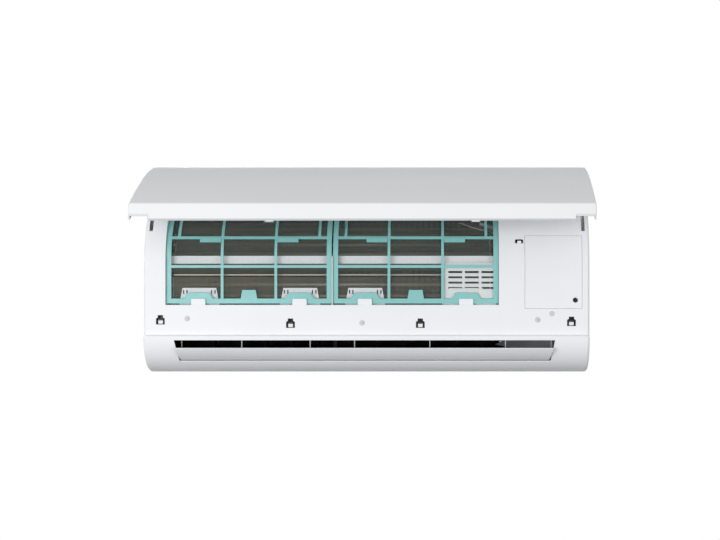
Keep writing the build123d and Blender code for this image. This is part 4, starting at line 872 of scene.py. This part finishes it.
def woven_net(build, left, right):
    """Threads up the path and threads across it."""
    ups = int((right - left) / NET_PITCH)
    reach = PATH_LENGTH - 2 * PATH_MARGIN
    stops = [PATH_MARGIN + reach * i / THREAD_STOPS for i in range(THREAD_STOPS + 1)]
    for i in range(ups + 1):
        x = left + (right - left) * i / ups
        rings = []
        for run in stops:
            (y, z), way = filter_path(run, NET_BEHIND)
            back = Vector((0, way.y, -way.x)) * THREAD_RADIUS
            centre = Vector((x, y, z))
            side = Vector((THREAD_RADIUS, 0, 0))
            rings.append([build.verts.new(centre + o) for o in (side, back, -side, -back)])
        chain(build, rings)
    rows = int(reach / NET_PITCH)
    for i in range(rows + 1):
        middle, way = filter_path(PATH_MARGIN + reach * i / rows, NET_BEHIND)
        tube(build, middle, left, right, THREAD_RADIUS, sides=4)


for side in ("left", "right"):
    net_node = f"filter_{side}_net"
    net_low, net_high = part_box(net_node)

    def threads(build):
        woven_net(build, net_low[0], net_high[0])

    woven = new_piece(f"{side}_woven_net", threads, "net_thread", f"filter_{side}")
    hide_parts(net_node)
    print(side, "net:", len(woven.data.polygons), "faces")

# %% [markdown]
# ## Small fittings
#
# Five things are left that are too small for CAD. A foil strip closes the seam between the
# front coil block and the upper one. A flange joins the side grille to the coil. A tongue
# stands in the little window beside the electrical cover. Each latch has a dark jaw above its
# white catch, and each screw cap has a notch to lift it by, whose shade is painted on as a dark
# block. Each could be modelled by hand, but seen from the front they are all one rounded block, at
# different sizes.

# %% A rounded block
CORNER_STEPS = 4


def rounded_block(build, middle, size, corner, steps=CORNER_STEPS):
    """A block that faces the front. The four corners that one sees from there are rounded."""
    half_wide, half_tall = size[0] / 2, size[2] / 2
    outline = []
    for turn, (sx, sz) in enumerate(((1, 1), (-1, 1), (-1, -1), (1, -1))):
        centre_x, centre_z = sx * (half_wide - corner), sz * (half_tall - corner)
        for i in range(steps + 1):
            angle = math.pi / 2 * (turn + i / steps)
            across, up = corner * math.cos(angle), corner * math.sin(angle)
            outline.append((centre_x + across, centre_z + up))
    rings = []
    for y in (middle[1] - size[1] / 2, middle[1] + size[1] / 2):
        rings.append([build.verts.new((middle[0] + x, y, middle[2] + z)) for x, z in outline])
    prism(build, *rings)


print("a rounded block has", 4 * (CORNER_STEPS + 1) + 2, "faces")

# %% [markdown]
# The strip and the flange are as long as the coil block and the grille that they belong to, so
# those two give their sizes. The tongue has its own place in the small window, just in
# front of the bottom of the recess.

# %% Strip, flange and tongue
STRIP_HEIGHT = 17 * MM  # where the front block ends and the upper one begins
STRIP_THICK, STRIP_TALL, STRIP_CORNER = 0.5 * MM, 1.8 * MM, 0.4 * MM
STRIP_PROUD = 0.1 * MM
FLANGE_WIDE, FLANGE_THICK, FLANGE_CORNER = 9 * MM, 1.0 * MM, 0.9 * MM
FLANGE_OVERLAP, FLANGE_BEHIND = 0.5 * MM, 1.1 * MM
TONGUE_PLACE = (247 * MM, -170.2 * MM, 70.3 * MM)
TONGUE_SIZE, TONGUE_CORNER = (6.4 * MM, 1.6 * MM, 5.0 * MM), 1.1 * MM


def seam_strip(build):
    low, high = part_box("coil_front_fins")
    middle = ((low[0] + high[0]) / 2, low[1] - STRIP_PROUD, STRIP_HEIGHT)
    rounded_block(build, middle, (high[0] - low[0], STRIP_THICK, STRIP_TALL), STRIP_CORNER)


def grille_flange(build):
    low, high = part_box("side_grille")
    across = low[0] - FLANGE_WIDE / 2 + FLANGE_OVERLAP
    middle = (across, low[1] + FLANGE_BEHIND, (low[2] + high[2]) / 2)
    rounded_block(build, middle, (FLANGE_WIDE, FLANGE_THICK, high[2] - low[2]), FLANGE_CORNER)


def window_tongue(build):
    rounded_block(build, TONGUE_PLACE, TONGUE_SIZE, TONGUE_CORNER)


new_piece("grille_flange", grille_flange, "fitting_white", "unit")
new_piece("coil_seam_strip", seam_strip, "collar_foil", "unit")
new_piece("slot_tongue", window_tongue, "casing_white", "unit")
strip_low, strip_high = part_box("coil_front_fins")
print("the strip is", round(strip_high[0] - strip_low[0], 3), "m long")

# %% [markdown]
# The four catches are one node in CAD, and so are the three caps. To know where each one is,
# the script walks from point to point along the edges until a lump is complete, and measures
# it. The places could be typed in as well, but measured ones follow when the model changes.

# %% Finding the catches and the caps
WELD = 0.01 * MM


def islands(name):
    """The middle and the size of each separate lump of a node, as two vectors."""
    build = bmesh.new()
    build.from_mesh(nodes[name].data)
    bmesh.ops.remove_doubles(build, verts=build.verts, dist=WELD)
    left = set(build.verts)
    found = []
    while left:
        reach = [left.pop()]
        lump = []
        while reach:
            vert = reach.pop()
            lump.append(vert.co.copy())
            for edge in vert.link_edges:
                other = edge.other_vert(vert)
                if other in left:
                    left.remove(other)
                    reach.append(other)
        low = Vector(min(co[i] for co in lump) for i in range(3))
        high = Vector(max(co[i] for co in lump) for i in range(3))
        found.append(((low + high) / 2, high - low))
    build.free()
    return sorted(found, key=lambda lump: lump[0].x)


catches = islands("latch_catches")
caps = islands("screw_caps")
print("catches:", len(catches), "caps:", len(caps))

# %% [markdown]
# The jaw of a latch is the dark upper part of its catch, so it lies a hair in front of it and
# ends level with its top. The notch of a cap is a short slot to the right of its middle. It
# could be cut in, but it is painted shade instead: a dark block, 0.3 mm deep, that just stands out
# in front of the cap looks like the shade in a notch.

# %% Jaws, and painted shade for the cap notches
JAW_THICK, JAW_TALL, JAW_CORNER = 0.7 * MM, 2.4 * MM, 0.8 * MM
JAW_PROUD = 0.15 * MM
NOTCH_SIZE, NOTCH_CORNER = (1.0 * MM, 0.3 * MM, 2.6 * MM), 0.45 * MM
NOTCH_BESIDE = 1.6 * MM


def latch_jaws(build):
    for middle, size in catches:
        top = middle.z + size.z / 2
        front = middle.y - size.y / 2
        place = (middle.x, front - JAW_PROUD, top - JAW_TALL / 2)
        rounded_block(build, place, (size.x, JAW_THICK, JAW_TALL), JAW_CORNER)


# Painted shade: a dark grey block in front of each cap, where a notch would hold shade.
def cap_notch_painted_shades(build):
    for middle, size in caps:
        place = (middle.x + NOTCH_BESIDE, middle.y - size.y / 2, middle.z)
        rounded_block(build, place, NOTCH_SIZE, NOTCH_CORNER)


new_piece("latch_jaws", latch_jaws, "socket_black", "unit")
new_piece("cap_notch_painted_shades", cap_notch_painted_shades, "cheek_grey", "unit")
print("jaws and notches made for", len(catches), "catches and", len(caps), "caps")

# %% [markdown]
# Through the top right corner of the window one sees the leads of the coil's temperature
# sensor: three thin insulated wires in loose curves, and the grey corrugated tube that
# gathers them on their way to the electrical box. A curve object with a bevel would give
# wires too, but not the corrugations. So each is swept along a smooth curve through a few
# points, and the corrugated tube changes its radius along the way.

# %% Smooth curves and sweeps


def smooth_curve(points, steps=8):
    """A Catmull-Rom curve through the points, given in millimetres."""
    points = [Vector(point) * MM for point in points]
    ends = [points[0]] + points + [points[-1]]
    curve = []
    for a, b, c, d in zip(ends, ends[1:], ends[2:], ends[3:]):
        square = 2 * a - 5 * b + 4 * c - d
        cube = 3 * b - a - 3 * c + d
        for i in range(steps):
            s = i / steps
            curve.append(0.5 * (2 * b + (c - a) * s + square * s**2 + cube * s**3))
    return curve + [points[-1]]


def swept(build, curve, radius_at, sides=10):
    """A closed tube along a curve. radius_at gives the radius at each point's number."""
    up = Vector((0, 0, 1))
    rings = []
    for i, point in enumerate(curve):
        ahead = curve[min(i + 1, len(curve) - 1)] - curve[max(i - 1, 0)]
        across = ahead.cross(up).normalized()
        over = across.cross(ahead).normalized()
        ring = []
        for k in range(sides):
            angle = 2 * math.pi * k / sides
            spoke = across * math.cos(angle) + over * math.sin(angle)
            ring.append(build.verts.new(point + spoke * radius_at(i)))
        rings.append(ring)
    chain(build, rings)


corner_curve = smooth_curve([(0, 0, 0), (1, 0, 0), (1, 1, 0)])
print("a curve through three points has", len(corner_curve), "points")

# %% [markdown]
# The leads are soft PVC in dark and faded rose, and the tube around them is grey nylon. They
# start at the coil, dip a little under their own weight and end at the wall of the electrical
# compartment. The points were placed a few millimetres in front of the coil.

# %% Sensor leads
LEAD_RADIUS = 0.9 * MM
SLEEVE_CREST, SLEEVE_VALLEY = 3.3 * MM, 2.6 * MM

moulded("lead_dark", tint(46, 44, 48), gloss=(0.35, 0.5), drift=0.08, grain_mm=0.6)
moulded("lead_rose", tint(176, 140, 146), gloss=(0.35, 0.5), drift=0.06, grain_mm=0.6)
moulded("sleeve_grey", tint(150, 150, 150), gloss=(0.3, 0.45), drift=0.05, grain_mm=0.8)

lead_routes = {  # name, finish and points in millimetres
    "sensor_lead_rose": (
        "lead_rose",
        [(150, -116, 101), (158, -124, 99), (172, -132, 94), (190, -136, 89), (214, -137, 81)],
    ),
    "sensor_lead_dark": (
        "lead_dark",
        [(156, -112, 103), (166, -128, 97), (182, -134, 93), (198, -137, 86), (214, -135, 79)],
    ),
    "sensor_lead_upper": (
        "lead_dark",
        [(152, -114, 98), (166, -121, 101), (180, -130, 96), (196, -133, 92), (214, -134, 84)],
    ),
}
for name, (finish, route) in lead_routes.items():
    curve = smooth_curve(route)

    def lead(build):
        swept(build, curve, lambda i: LEAD_RADIUS)

    new_piece(name, lead, finish, "unit", smooth=True)
    length = sum((b - a).length for a, b in zip(curve, curve[1:]))
    print(name, "is", round(length / MM), "mm long")

sleeve_route = [(184, -128, 100), (194, -130, 97), (204, -131, 94), (214, -131, 90)]
sleeve_curve = smooth_curve(sleeve_route, steps=9)


def corrugated_sleeve(build):
    swept(build, sleeve_curve, lambda i: SLEEVE_CREST if i % 2 else SLEEVE_VALLEY, sides=14)


new_piece("lead_sleeve", corrugated_sleeve, "sleeve_grey", "unit", smooth=True)
print("the sleeve has", len(sleeve_curve) // 2, "corrugations")
